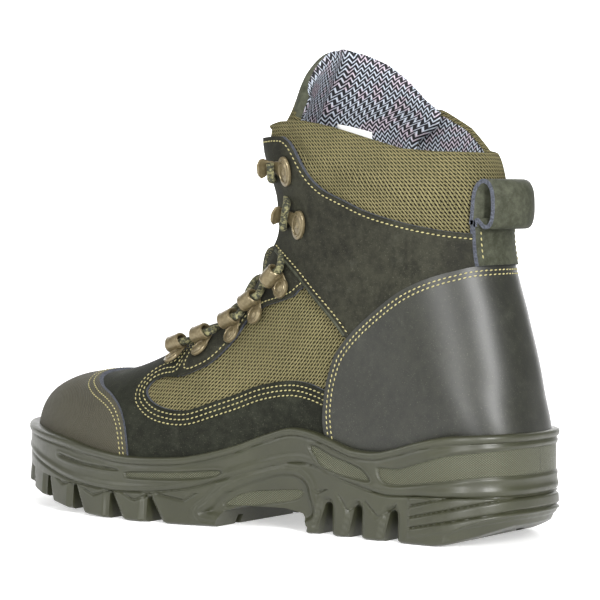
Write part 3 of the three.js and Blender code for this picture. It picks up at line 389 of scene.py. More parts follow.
def braid():
    made = Finish("braid", 0.85)
    u, v = made.uv()
    one = (u * 1.9 + v * 6.283).math("SINE")
    two = (u * 1.9 - v * 6.283).math("SINE")
    over = (one * two).step(-0.25, 0.35)
    fleck = made.noise(1.6, 2).step(0.5, 0.56)
    made.two_tones(fleck * 0.65 + over * 0.25, "2b2d22", "86825c")
    made.bump(over, 0.4)
    return made.material


lace_braid = braid()

blank_cloth = Finish("blank_cloth", 0.8)
blank_cloth.two_tones(blank_cloth.noise(0.6, 2), "dcdcd8", "f0f0ee")
blank_cloth = blank_cloth.material


def paper(name, tone, glow):
    """Pale paper, lit a little from behind so that it stays white."""
    made = Finish(name, 0.95, Emission_Strength=glow)
    dust = made.noise(400, 2)
    lit = made.mix(dust, (tone, tone, tone), (tone * 1.02, tone * 1.02, tone * 1.02))
    made.set("Base Color", lit)
    made.set("Emission Color", lit)
    return made.material


floor.data.materials.append(paper("studio_floor", 0.88, 0.5))
backdrop.data.materials.append(paper("studio_backdrop", 0.9, 1.3))
print("finishes:", len(bpy.data.materials))

# %% [markdown]
# ## The form
# A boot is shaped over a last. No primitive comes near its double curves, so its skin is lofted through
# sections, each from a point on the ridge (toe, instep, shaft) to one on the sole or the back. The tables
# hold shares of a few sizes in millimetres, the same that the solids were made from.

# %% Sizes and sections
LENGTH = 303
BALL_WIDTH = 106
HEEL_WIDTH = 80
SHAFT = 170
HEEL_BED = 27
BALL_BED = 19
CUP_HEIGHT = 25
REST_AT = 63
COLLAR_FROM = 12.6
PAD_OUT = 2.6
PAD_IN = 5
WALL = 2.2

# columns: ridge along, ridge up, end along, end up
PROFILE = [
    (0.976, 0.09, 0.976, 0.055), (0.97, 0.132, 0.969, 0), (0.955, 0.175, 0.953, 0),
    (0.925, 0.214, 0.922, 0), (0.879, 0.25, 0.872, 0), (0.816, 0.277, 0.805, 0),
    (0.745, 0.311, 0.735, 0), (0.67, 0.366, 0.65, 0), (0.593, 0.433, 0.56, 0),
    (0.533, 0.514, 0.455, 0), (0.497, 0.606, 0.33, 0), (0.479, 0.682, 0.16, 0),
    (0.467, 0.738, 0.017, 0.05), (0.462, 0.788, 0.015, 0.24), (0.461, 0.836, 0.038, 0.43),
    (0.466, 0.886, 0.065, 0.6), (0.478, 0.945, 0.073, 0.745), (0.48, 1.01, 0.082, 0.89),
    (0.455, 1.09, 0.094, 1.03), (0.405, 1.27, 0.11, 1.23),
]
# columns: outer half width, inner half width, where widest, squareness of the two ends
GIRTH = [
    (0.03, 0.055, 0.5, 2, 2), (0.085, 0.125, 0.62, 2.1, 2.6), (0.155, 0.21, 0.66, 2.2, 3.4),
    (0.228, 0.288, 0.68, 2.3, 4), (0.31, 0.362, 0.7, 2.35, 4.5), (0.382, 0.405, 0.72, 2.35, 4.5),
    (0.43, 0.418, 0.74, 2.3, 4.5), (0.447, 0.405, 0.76, 2.15, 4.5), (0.43, 0.348, 0.77, 2.05, 4.2),
    (0.385, 0.31, 0.76, 2.05, 4), (0.37, 0.325, 0.72, 2.15, 4), (0.395, 0.375, 0.66, 2.3, 3.6),
    (0.395, 0.39, 0.6, 2.4, 2.9), (0.39, 0.39, 0.54, 2.5, 2.35), (0.392, 0.392, 0.5, 2.6, 2.1),
    (0.405, 0.405, 0.48, 2.6, 2.05), (0.425, 0.42, 0.48, 2.6, 2.1), (0.435, 0.43, 0.48, 2.5, 2.2),
    (0.44, 0.43, 0.48, 2.3, 2.3), (0.44, 0.43, 0.48, 2.3, 2.3),
]
TOP_ROW = len(PROFILE) - 1


def mix(a, b, t):
    return a + (b - a) * t


def smooth(value):
    t = np.clip(value, 0, 1)
    return t * t * (3 - 2 * t)


def unit(vectors):
    return vectors / np.linalg.norm(vectors, axis=-1, keepdims=True)


def way_along(p):
    """Distance walked to every point of a path."""
    return np.concatenate([[0], np.cumsum(np.linalg.norm(np.diff(p, axis=0), axis=1))])


def sampled(table, way, want):
    """All columns of a table of points at other distances along it."""
    return np.stack([np.interp(want, way, column) for column in table.T], -1)


def bed(x):
    """Height of the footbed at a distance from the back of the heel."""
    rise = np.clip((x / LENGTH - 0.68) / 0.32, 0, 1) ** 2
    return mix(HEEL_BED, BALL_BED, smooth((x / LENGTH - 0.22) / 0.42)) + 8 * rise


def between(rows, u):
    """All columns of a table at a fractional row, on a smooth curve through its rows."""
    table = np.array(rows, float)
    i = np.clip(np.floor(u), 0, len(table) - 2).astype(int)
    t = (u - i)[..., None]
    a, b, c, d = (table[np.clip(i + k, 0, len(table) - 1)] for k in (-1, 0, 1, 2))
    rise, fall = (c - a) / 2, (d - b) / 2
    start = b * (2 * t**3 - 3 * t**2 + 1) + rise * (t**3 - 2 * t**2 + t)
    return start + c * (3 * t**2 - 2 * t**3) + fall * (t**3 - t**2)


def look_up(rows, value, column=1):
    table = np.array(rows, float)
    return np.interp(value, table[:, 0], table[:, column])


def last(u, angle):
    """Points of the last: u counts sections from the toe, angle runs from the ridge down the outer side."""
    u, angle = np.broadcast_arrays(np.asarray(u, float), np.asarray(angle, float))
    ridge_at, ridge_up, end_at, end_up = np.moveaxis(between(PROFILE, u), -1, 0)
    outer, inner, peak, top, bottom = np.moveaxis(between(GIRTH, u), -1, 0)
    ridge_x, end_x = ridge_at * LENGTH, end_at * LENGTH
    ridge_z = bed(ridge_x) + ridge_up * SHAFT
    end_z = bed(end_x) + end_up * SHAFT - 5 * smooth(1 - end_up / 0.05)
    c, s = np.cos(angle), np.sin(angle)
    half = np.where(s >= 0, outer, inner)
    power = 2 / np.where(c >= 0, top, bottom)
    bent = np.abs(c) ** power
    along = np.where(c >= 0, peak * (1 - bent), peak + (1 - peak) * bent)
    share = smooth((mix(ridge_x, end_x, peak) / LENGTH - 0.2) / 0.42)
    width = mix(HEEL_WIDTH, BALL_WIDTH, share)
    y = np.sign(s) * half * width * np.abs(s) ** power
    return np.stack([mix(ridge_x, end_x, along), y, mix(ridge_z, end_z, along)], -1)


def over_ridge(u, lift, y=0.0):
    """A point over the last's ridge, lifted square to it and moved sideways."""
    way = unit(last(u + 0.2, 0) - last(u - 0.2, 0))
    return last(u, 0) * (1, 0, 1) + np.array([way[2], 0, -way[0]]) * lift + (0, y, 0)


print("form: toe at", last(0, 0).round(1), "collar at", last(17, 0).round(1))

# %% [markdown]
# The lines of the panels are drawn on the side view, as a pattern cutter draws them on the last's shell:
# a share along the length, and one up the shaft above the footbed.

# %% Pattern lines
COLLAR_EDGE = [
    # along, outer side, inner side
    (0.0, 0.893, 0.893), (0.09, 0.893, 0.893), (0.13, 0.894, 0.9), (0.18, 0.902, 0.966),
    (0.24, 0.933, 1.018), (0.3, 0.967, 1.035), (0.36, 0.995, 1.04), (0.42, 1.008, 1.035),
    (0.55, 1.0, 1.02),
]
QUARTER_TOP = [
    (-0.1, 0.668), (0.05, 0.669), (0.096, 0.675), (0.141, 0.688), (0.185, 0.706), (0.234, 0.731),
    (0.279, 0.766), (0.316, 0.798), (0.342, 0.838), (0.359, 0.882), (0.371, 0.918), (0.386, 0.946),
    (0.42, 0.962), (0.6, 0.97),
]
QUARTER_FRONT = [
    (0.25, 0.33), (0.286, 0.409), (0.311, 0.454), (0.343, 0.506), (0.375, 0.56), (0.412, 0.612),
    (0.455, 0.66), (0.53, 0.715), (0.6, 0.75),
]
COUNTER_EDGE = [
    (0.305, -0.04), (0.308, 0.05), (0.311, 0.107), (0.316, 0.162), (0.313, 0.231), (0.305, 0.294),
    (0.294, 0.345), (0.275, 0.385), (0.253, 0.42), (0.216, 0.47), (0.176, 0.518), (0.138, 0.55),
    (0.099, 0.573), (0.06, 0.588), (-0.06, 0.6),
]
TOE_CAP_EDGE = [
    (0.9, 0.45), (0.83, 0.3), (0.787, 0.262), (0.738, 0.239), (0.706, 0.21), (0.686, 0.167),
    (0.676, 0.116), (0.672, 0.07), (0.67, -0.04),
]
WINDOW_TOP = [
    (0.34, 0.555), (0.376, 0.528), (0.389, 0.511), (0.424, 0.498), (0.458, 0.487), (0.486, 0.458),
    (0.503, 0.411), (0.527, 0.363), (0.55, 0.33), (0.591, 0.303),
]
WINDOW_FOOT = [
    (0.6, 0.301), (0.63, 0.3), (0.652, 0.287), (0.659, 0.264), (0.65, 0.242), (0.628, 0.223),
    (0.598, 0.21), (0.564, 0.208), (0.523, 0.228), (0.48, 0.248), (0.441, 0.268), (0.388, 0.276),
    (0.35, 0.267), (0.319, 0.247), (0.25, 0.2),
]
# half width of the opening between the lace rows, as a share of the heel's width, by section
THROAT = [
    (6.5, 0.019), (6.6, 0.087), (6.8, 0.144), (7.2, 0.181), (8, 0.212), (9, 0.227), (10, 0.237),
    (11, 0.250), (12.5, 0.269), (14.5, 0.300), (16, 0.325), (17.2, 0.350),
]


def side_view(rows):
    rows = np.array(rows, float)
    x = rows[:, 0] * LENGTH
    return np.stack([x, bed(x) + rows[:, 1] * SHAFT], -1)


def line(rows, finer=6):
    """A smooth line through a table's rows, in millimetres of the side view."""
    return between(side_view(rows), np.linspace(0, len(rows) - 1, (len(rows) - 1) * finer + 1))


def outline(*runs):
    return np.concatenate([np.atleast_2d(run) for run in runs])


quarter_line = outline(
    line(QUARTER_FRONT), side_view([(0.62, 0.97)]), line(QUARTER_TOP)[::-1], side_view([(-0.1, 0.33)])
)
counter_line = outline(line(COUNTER_EDGE), side_view([(-0.1, 0.6), (-0.1, -0.15), (0.305, -0.15)]))
toe_line = outline(line(TOE_CAP_EDGE), side_view([(0.67, -0.3), (1.1, -0.3), (1.1, 0.45)]))
eyestay_line = outline(
    line(WINDOW_TOP),
    side_view([(0.599, 0.306), (0.607, 0.376), (0.614, 0.418), (0.65, 0.55), (0.6, 0.8), (0.5, 0.8)]),
    side_view([(0.4, 0.7), (0.3, 0.52), (0.27, 0.45)]),
)
vamp_line = outline(
    line(WINDOW_FOOT), side_view([(0.25, -0.2), (1.1, -0.2), (1.1, 0.6), (0.65, 0.6), (0.6, 0.4)])
)


def distance(points, path, closed=True):
    """Distance of side-view points to an outline, negative inside a closed one."""
    shape = points.shape[:-1]
    p = points.reshape(-1, 2)
    a = path if closed else path[:-1]
    b = np.roll(path, -1, 0) if closed else path[1:]
    best = np.full(len(p), 1e9)
    inside = np.zeros(len(p), bool)
    for (ax, ay), (bx, by) in zip(a, b):
        edge = np.array([bx - ax, by - ay])
        t = np.clip(((p - (ax, ay)) @ edge) / max(edge @ edge, 1e-12), 0, 1)
        best = np.minimum(best, np.hypot(p[:, 0] - ax - t * edge[0], p[:, 1] - ay - t * edge[1]))
        crosses = (ay > p[:, 1]) != (by > p[:, 1])
        with np.errstate(divide="ignore", invalid="ignore"):
            at = ax + (p[:, 1] - ay) / (by - ay) * (bx - ax)
        inside ^= crosses & (p[:, 0] < at)
    return (np.where(inside, -best, best) if closed else best).reshape(shape)


print("pattern lines:", len(quarter_line), len(counter_line), len(eyestay_line), len(vamp_line))

# %% [markdown]
# The skin's grid has a row per section and a column per angle. Above the ankle its rows close up to the
# collar's edge, so that the edge itself is one clean row.

# %% Grid
ROUND = 144
angles = np.linspace(0, 2 * np.pi, ROUND, endpoint=False)


def quarter_top(x):
    return bed(x) + SHAFT * look_up(QUARTER_TOP, x / LENGTH)


def collar_edge(x, y):
    outer = look_up(COLLAR_EDGE, x / LENGTH, 1)
    inner = look_up(COLLAR_EDGE, x / LENGTH, 2)
    return bed(x) + SHAFT * mix(inner, outer, smooth(0.5 + y / (0.7 * HEEL_WIDTH)))


def edge_rows():
    """The section at which each column of the grid meets the collar's edge, by halving."""
    low, high = np.full(ROUND, COLLAR_FROM), np.full(ROUND, float(TOP_ROW))
    for _ in range(30):
        u = (low + high) / 2
        p = last(u, angles)
        below = p[:, 2] < collar_edge(p[:, 0], p[:, 1])
        low, high = np.where(below, u, low), np.where(below, high, u)
    return low


def grid(low_rows, top_rows):
    """Points, outward normals, section counts and how far each row has rolled over the collar's edge."""
    start = COLLAR_FROM * (np.arange(1, low_rows + 1) / low_rows) ** 0.9
    shares = 1 - (1 - np.arange(1, top_rows + 1) / top_rows) ** 1.6
    u = np.concatenate([
        np.repeat(start[:, None], ROUND, 1),
        mix(COLLAR_FROM, edge_rows()[None, :], shares[:, None]),
    ])
    points = last(u, angles[None, :])
    around = np.roll(points, -1, 1) - np.roll(points, 1, 1)
    along = np.gradient(points, axis=0)
    normals = np.cross(along, around)
    normals /= np.maximum(np.linalg.norm(normals, axis=-1, keepdims=True), 1e-9)
    normals *= np.sign((normals[..., 1] * points[..., 1]).sum())
    roll = np.concatenate([np.zeros(low_rows), np.clip((shares - 0.64) / 0.36, 0, 1)])
    return points, normals, u, np.sqrt(np.maximum(0, 1 - roll**2))


points, normals, sections, unrolled = grid(96, 44)


def padding(p):
    """How thick the collar's foam is: 0 at the quarter's top, 1 near the edge."""
    low = quarter_top(p[..., 0]) + 6
    t = (p[..., 2] - low) / np.maximum(1, collar_edge(p[..., 0], p[..., 1]) - low)
    return smooth(np.clip(t, 0, 1) / 0.45)


def grown(by):
    """The grid's points, moved out along their normals."""
    return points + normals * by[..., None]


full = padding(points)
print("grid:", points.shape[:2])

# %% [markdown]
# Leather that has been worn is never quite even. These creases are listed one by one: each is a soft trough
# between two points of the side view, with a low swell beside it.

# %% Creases
CREASES = [
    # side, from along, from up, to along, to up, depth, width
    (1, 0.33, 0.64, 0.20, 0.60, 0.5, 7), (1, 0.40, 0.72, 0.28, 0.70, 0.45, 8),
    (1, 0.42, 0.80, 0.36, 0.78, 0.35, 5), (1, 0.30, 0.50, 0.17, 0.62, 0.4, 9),
    (1, 0.60, 0.17, 0.52, 0.11, 0.5, 5), (1, 0.66, 0.20, 0.63, 0.09, 0.45, 5),
    (1, 0.43, 0.21, 0.38, 0.13, 0.4, 6), (1, 0.57, 0.26, 0.45, 0.31, 0.6, 6),
    (1, 0.52, 0.33, 0.40, 0.42, 0.5, 7), (1, 0.40, 0.38, 0.34, 0.30, 0.6, 5),
    (-1, 0.33, 0.62, 0.20, 0.58, 0.5, 7), (-1, 0.42, 0.76, 0.30, 0.72, 0.4, 8),
    (-1, 0.62, 0.17, 0.54, 0.10, 0.5, 5), (-1, 0.46, 0.20, 0.38, 0.12, 0.4, 6),
    (-1, 0.55, 0.28, 0.44, 0.33, 0.5, 6), (1, 0.10, 0.72, 0.13, 0.87, 0.7, 5),
    (1, 0.22, 0.76, 0.25, 0.90, 0.5, 6), (-1, 0.15, 0.72, 0.20, 0.90, 0.6, 6),
]


def relief(p):
    """How far the surface stands out, in millimetres, from creases and from a slow waviness."""
    flat = p[..., [0, 2]]
    out = 0.16 * np.sin(p[..., 0] / 13 + p[..., 2] / 17) * np.sin(p[..., 2] / 11 - p[..., 1] / 19)
    for side, *ends, depth, width in CREASES:
        ends = side_view([ends[:2], ends[2:]])
        d = distance(flat, ends, closed=False)
        near = np.where(p[..., 1] * side > 0, 1, 0)
        out = out - near * depth * np.exp(-((d / width) ** 2))
        out = out + near * 0.5 * depth * np.exp(-(((d - 1.8 * width) / width) ** 2))
    return out


wave = relief(points)
print("creases:", len(CREASES), "deepest", round(float(wave.min()), 2), "mm")

# %% [markdown]
# Two skins of the grid, one grown outwards and one inwards and joined along the collar, make a closed
# shell. A panel is that shell cut by a prism with its outline; the cut faces take the prism's own finish,
# which is how the leather gets its raw blue-grey edge.


# %% Shells and cuts
def to_frame(p):
    """Millimetres from the back of the heel to metres of the frame."""
    return (np.asarray(p, float) - (REST_AT, 0, 0)) * MM


def add_map(mesh, name, values):
    """A UV map from one pair of values for each point."""
    layer = mesh.uv_layers.new(name=name)
    index = np.zeros(len(mesh.loops), int)
    mesh.loops.foreach_get("vertex_index", index)
    layer.data.foreach_set("uv", np.asarray(values, np.float32)[index].ravel())


def piece(name, corners, faces, finishes, uv=None, face_finish=None, in_mm=True):
    """A smooth mesh object with its finishes, its map and the finish of each face."""
    mesh = bpy.data.meshes.new(name)
    mesh.from_pydata((to_frame(corners) if in_mm else corners).tolist(), [], faces)
    for finish in finishes:
        mesh.materials.append(finish)
    if uv is not None:
        add_map(mesh, "UVMap", uv)
    if face_finish is not None:
        mesh.polygons.foreach_set("material_index", np.asarray(face_finish, np.int32))
    mesh.polygons.foreach_set("use_smooth", np.ones(len(mesh.polygons), bool))
    made = bpy.data.objects.new(name, mesh)
    bpy.context.scene.collection.objects.link(made)
    return made


def skin_faces(first, rows, flip=False):
    """Faces of a skin whose first point is the toe's and whose rings follow."""
    faces = []
    for j in range(ROUND):
        k = (j + 1) % ROUND
        faces.append((first, first + 1 + k, first + 1 + j))
        for i in range(rows - 1):
            a = first + 1 + i * ROUND
            faces.append((a + k, a + ROUND + k, a + ROUND + j, a + j))
    return [face[::-1] for face in faces] if flip else faces


def arc(p):
    """Distance round each ring from the middle of the back."""
    steps = np.linalg.norm(np.roll(p, -1, 1) - p, axis=-1)
    total = np.concatenate([np.zeros((len(p), 1)), np.cumsum(steps, 1)[:, :-1]], 1)
    return total - total[:, ROUND // 2 : ROUND // 2 + 1]


def skin_map(p):
    """Round the collar the map follows the ring; on the sides it is the side view."""
    high = p[..., 2] > quarter_top(p[..., 0]) - 6
    round_the_ring = np.where(high, arc(p), p[..., 0])
    return np.stack([round_the_ring, p[..., 2]], -1)


def ring_faces(rings, n, flip=False):
    """Faces between rings of n points each."""
    k = np.arange(n)
    faces = []
    for i in range(rings - 1):
        a, b = i * n + k, i * n + np.roll(k, -1)
        faces += np.stack([a, a + n, b + n, b] if flip else [a, b, b + n, a + n], -1).tolist()
    return faces


def picked(*objects):
    """Selects these objects alone; the first one is active."""
    deselect()
    for item in objects:
        item.select_set(True)
    bpy.context.view_layer.objects.active = objects[0]


def edited(made, operator, **settings):
    """Runs one edit-mode operator on a whole mesh."""
    picked(made)
    bpy.ops.object.mode_set(mode="EDIT")
    bpy.ops.mesh.select_all(action="SELECT")
    operator(**settings)
    bpy.ops.object.mode_set(mode="OBJECT")
    return made


def welded(made):
    """Merges the points where two skins meet."""
    return edited(made, bpy.ops.mesh.remove_doubles, threshold=0.00001)


def faced_out(made):
    """Turns all faces outwards."""
    return edited(made, bpy.ops.mesh.normals_make_consistent, inside=False)


def joined(name, objects):
    picked(*objects)
    bpy.ops.object.join()
    objects[0].name = name
    return objects[0]


def shell(name, outer, inner, finishes, inner_rows_outer=0, path=None):
    """A closed shell between two growths of the grid. The map Edge holds the way in from an outline."""
    tips = [mix(last(0, 0), last(0, np.pi), 0.5) + (grow[0].mean(), 0, 0) for grow in (outer, inner)]
    corners, maps = [], []
    for tip, grow in zip(tips, (outer, inner)):
        p = grown(grow)
        corners += [tip[None], p.reshape(-1, 3)]
        maps += [np.zeros((1, 2)), skin_map(p).reshape(-1, 2)]
    rows = len(points)
    half = 1 + rows * ROUND
    faces = skin_faces(0, rows) + skin_faces(half, rows, flip=True)
    start = half - ROUND
    for j in range(ROUND):
        k = (j + 1) % ROUND
        faces.append((start + j, start + k, start + half + k, start + half + j))
    per_skin = ROUND * rows
    which = np.zeros(len(faces), int)
    if len(finishes) > 1:
        which[per_skin : 2 * per_skin] = 1
        inner_ids = which[per_skin : 2 * per_skin].reshape(ROUND, rows)
        inner_ids[:, rows - inner_rows_outer :] = 0
    corners = np.concatenate(corners)
    made = piece(name, corners, faces, finishes, np.concatenate(maps), which)
    if path is not None:
        inwards = -distance(corners[:, [0, 2]], path)
        add_map(made.data, "Edge", np.stack([inwards, inwards * 0], -1))
    return welded(made)


def prism(name, path, low=-95, high=95, turned=(0, 0), lining=None):
    """A block with an outline of the side view; its faces between two marks are turned, not raw."""
    n = len(path)
    corners = [(x, y, z) for y in (low, high) for x, z in path]
    area = sum(path[i, 0] * path[(i + 1) % n, 1] - path[(i + 1) % n, 0] * path[i, 1] for i in range(n))
    faces = [(i, (i + 1) % n, n + (i + 1) % n, n + i) for i in range(n)]
    faces += [tuple(range(n))[::-1], tuple(range(n, 2 * n))]
    if area > 0:
        faces = [face[::-1] for face in faces]
    which = [int(turned[0] <= i < turned[1]) for i in range(len(faces))]
    return piece(name, corners, faces, [raw_edge, lining or raw_edge], face_finish=which)


def cut(target, cutter, operation, tangled=False):
    """Applies one boolean. The cut faces take the cutter's finish."""
    deselect()
    bpy.context.view_layer.objects.active = target
    modifier = target.modifiers.new("cut", "BOOLEAN")
    modifier.operation = operation
    modifier.solver = "EXACT"
    modifier.object = cutter
    modifier.material_mode = "TRANSFER"
    modifier.use_self = tangled
    bpy.ops.object.modifier_apply(modifier=modifier.name)
    bpy.data.objects.remove(cutter)
    return target


def ridge_block(rows, finish, name="throat_block"):
    """A block along the ridge: rows of section, outer and inner half width and depth."""
    corners = []
    for u, outer, inner, depth in rows:
        for y, d in ((outer, 0.375), (outer, -depth), (-inner, -depth), (-inner, 0.375)):
            corners.append(over_ridge(u, d * HEEL_WIDTH, y * HEEL_WIDTH))
    e = 4 * (len(rows) - 1)
    faces = [(3, 2, 1, 0), (e, e + 1, e + 2, e + 3)] + ring_faces(len(rows), 4)
    return piece(name, np.array(corners), faces, [finish])


def throat(finish=raw_edge):
    steps = np.concatenate([np.linspace(6.5, 8, 12), np.linspace(8.3, 17.2, 24)])
    return ridge_block([(u, h, h, 0.325) for u, h in zip(steps, look_up(THROAT, steps))], finish)


def crisp(made, degrees=42):
    """Smooth shading that keeps edges sharper than an angle."""
    picked(made)
    bpy.ops.object.shade_smooth_by_angle(angle=math.radians(degrees))


def dress(made, slot, *nodes):
    """Attaches a finished piece to the boot and hides the solids that it stands for; its slot is not used."""
    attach(made, "root")
    if nodes:
        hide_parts(*nodes)
    print(made.name, len(made.data.polygons), "faces")
    return made


# %% [markdown]
# ## Upper
# The hollow upper: knit outside, lining inside, and a collar that swells both ways over its foam.

# %% Upper
pucker = 0.35 * np.sin(arc(points) / 5.5) * full * smooth((1 - full) * 4 + 0.1)
outer_grow = full * PAD_OUT + wave * 0.8 + pucker
inner_grow = -WALL - PAD_IN * full
rim_grow = (PAD_OUT - PAD_IN - WALL) / 2 * full - WALL / 2 * (1 - full)
outer_skin = mix(rim_grow, outer_grow, unrolled[:, None])
inner_skin = mix(rim_grow, inner_grow, unrolled[:, None])
upper = shell("upper_cloth", outer_skin, inner_skin, [knit_cloth, lining_cloth], 4)
cut(upper, throat(felt), "DIFFERENCE", tangled=True)
crisp(upper, 60)
dress(upper, "knit", "upper")


# %% [markdown]
# ## Leather panels
# They lap as they do at the bench: vamp lowest, then the eyestays, the quarters over both, and counter
# and toe cap on top. Each is a little thicker in sum than the one it covers.


# %% Panels
THICK = {"vamp": 1.5, "eyestay": 2.1, "quarter": 2.6, "counter": 3.1, "toe_cap": 2.9, "strip": 4.2}
SOFT = {"vamp": 1, "eyestay": 1, "quarter": 1, "counter": 0.4, "toe_cap": 0.3}  # share of the creases


def panel(key, path, finish, *nodes, kind="leather", with_throat=True, turned=(0, 0)):
    """One panel: a thin shell on the form, cut by its outline and by the opening for the lace."""
    name = key + "_" + kind.split("_")[-1]
    grow = THICK[key] + PAD_OUT * full + wave * SOFT[key]
    base = 0.2 + PAD_OUT * full + wave * 0.8
    made = shell(name, grow, np.minimum(base, grow - 0.4), [finish], path=path)
    cut(made, prism(name + "_outline", path, turned=turned, lining=finish), "INTERSECT")
    if with_throat:
        cut(made, throat(), "DIFFERENCE")
    crisp(made)
    return dress(made, kind, *nodes)


folded = (0, len(line(QUARTER_FRONT)))
panel("vamp", vamp_line, leather_vamp, "vamp")
panel("eyestay", eyestay_line, leather_side, "eyestay_outer", "eyestay_inner")
panel("quarter", quarter_line, leather_side, "quarter_outer", "quarter_inner", turned=folded)
panel("counter", counter_line, leather_heel, "heel_counter", with_throat=False)
panel("toe_cap", toe_line, toe_rubber, "toe_cap", kind="toe_rubber", with_throat=False)

# %% [markdown]
# ## Pull loop
# One leather strap: it comes up the back seam, makes a loop to pull on and is tucked under itself in a
# small fold. The strip below is cut from the grown form; the loop is swept along its folded path.

# %% Pull loop and back strip
STRAP_WIDE = 34
STRAP_THICK = 2
SLICES = 18  # across the strap
LOOP_Z = HEEL_BED + 0.753 * SHAFT
# the fold's path: forward of the collar's back, up from the loop's middle
LOOP_PATH = [
    (0.4, -9.5), (0, -7), (-0.4, -3), (-0.8, 2), (-2.2, 7.2), (-5.4, 10.2), (-8.8, 9.4),
    (-10.9, 5.6), (-11.4, 0), (-11.2, -5.6), (-9.8, -9.6), (-7.2, -10.6), (-5, -9), (-3.6, -7.6),
    (-2.4, -8), (-1.9, -10.5),
]


def normals_at(u, angle):
    along = last(u + 0.05, angle) - last(u - 0.05, angle)
    around = last(u, angle + 0.01) - last(u, angle - 0.01)
    n = np.cross(along, around)
    n /= np.maximum(np.linalg.norm(n, axis=-1, keepdims=True), 1e-9)
    return n * np.where((n * (last(u, angle) - last(u, angle + np.pi))).sum(-1, keepdims=True) < 0, -1, 1)


def back_at(y, z):
    """How far along the back of the form is, at a height and a distance from its middle."""
    u, a = np.meshgrid(np.linspace(13, 18, 60), np.linspace(0.6 * np.pi, 1.4 * np.pi, 161), indexing="ij")
    p = last(u, a)
    miss = np.hypot(p[..., 1] - y, p[..., 2] - z)
    return p[..., 0].flat[np.argmin(miss)]


def pull_loop():
    path = between(LOOP_PATH, np.linspace(0, len(LOOP_PATH) - 1, 65))
    along = unit(np.gradient(path, axis=0))
    out = np.stack([-along[:, 1], along[:, 0]], -1)
    n = len(path)
    half = STRAP_THICK / 2
    section = np.concatenate([path + out * half, (path - out * half)[::-1]])
    corners, maps = [], []
    m = 2 * n
    for y in np.linspace(-STRAP_WIDE / 2, STRAP_WIDE / 2, SLICES + 1):
        front = back_at(y, LOOP_Z) - PAD_OUT - 1.2
        corners += [(front + a, y, LOOP_Z + z) for a, z in section]
        maps += [(y, float(k)) for k in range(m)]
    faces = ring_faces(SLICES + 1, m)
    which = [0] * len(faces)
    last_ring = SLICES * m
    for k in range(n - 1):
        faces.append((m - 1 - k, m - 2 - k, k + 1, k))
        faces.append((last_ring + k, last_ring + k + 1, last_ring + m - 2 - k, last_ring + m - 1 - k))
        which += [1, 1]
    made = piece("pull_loop_strap", corners, faces, [leather_strap, raw_edge], maps, which)
    faced_out(made)
    crisp(made, 50)
    return made


strip_low, strip_high = HEEL_BED + 0.52 * SHAFT, LOOP_Z - 7.5
strip_back, strip_front = -0.1 * LENGTH, 0.15 * LENGTH
strip_path = np.array([
    (strip_back, strip_low), (strip_front, strip_low), (strip_front, strip_high), (strip_back, strip_high),
])
strip_grow = THICK["strip"] + wave * 0.3 + PAD_OUT * full
strip = shell("back_strip", strip_grow, 2.2 + PAD_OUT * full, [leather_strap])
cut(strip, prism("strip_outline", strip_path, -STRAP_WIDE / 2, STRAP_WIDE / 2), "INTERSECT")
cut(strip, prism("counter_outline", counter_line), "DIFFERENCE")
crisp(strip)
dress(strip, "leather")
loop = dress(pull_loop(), "leather", "pull_loop")

# %% [markdown]
# ## Tongue
# A padded flap under the laces. It is laid out by rows up the instep and shares across, then given a
# round edge by thinning its padding towards the rim. The lining is its inner face.

# %% Tongue
TONGUE_THICK = 6
# columns: section, outer and inner half width, depth below the ridge, in shares of the heel's width
TONGUE = [
    (5.9, 0.150, 0.150, 0.275), (6.2, 0.212, 0.212, 0.300), (6.8, 0.263, 0.263, 0.338),
    (8, 0.300, 0.300, 0.350), (10, 0.325, 0.325, 0.375), (12.5, 0.350, 0.350, 0.450),
    (15, 0.345, 0.400, 0.550), (16.4, 0.305, 0.500, 0.690), (17.4, 0.262, 0.625, 0.740),
    (18.3, 0.245, 0.625, 0.700), (19, 0.240, 0.625, 0.680),
]
TONGUE_TOP = [
    (0.2, 0.975), (0.255, 1.045), (0.29, 1.105), (0.325, 1.155), (0.36, 1.190), (0.4, 1.212),
    (0.6, 1.237),
]
PATCH_TALL = 13  # leather along the top edge of the tongue's outer face


def tongue_top(x, y):
    """Height of the tongue's top edge, which slopes down to the outer side."""
    slope = 0.16 * smooth((y / HEEL_WIDTH + 0.025) / 0.375)
    return bed(x) + SHAFT * (look_up(TONGUE_TOP, x / LENGTH) - slope)


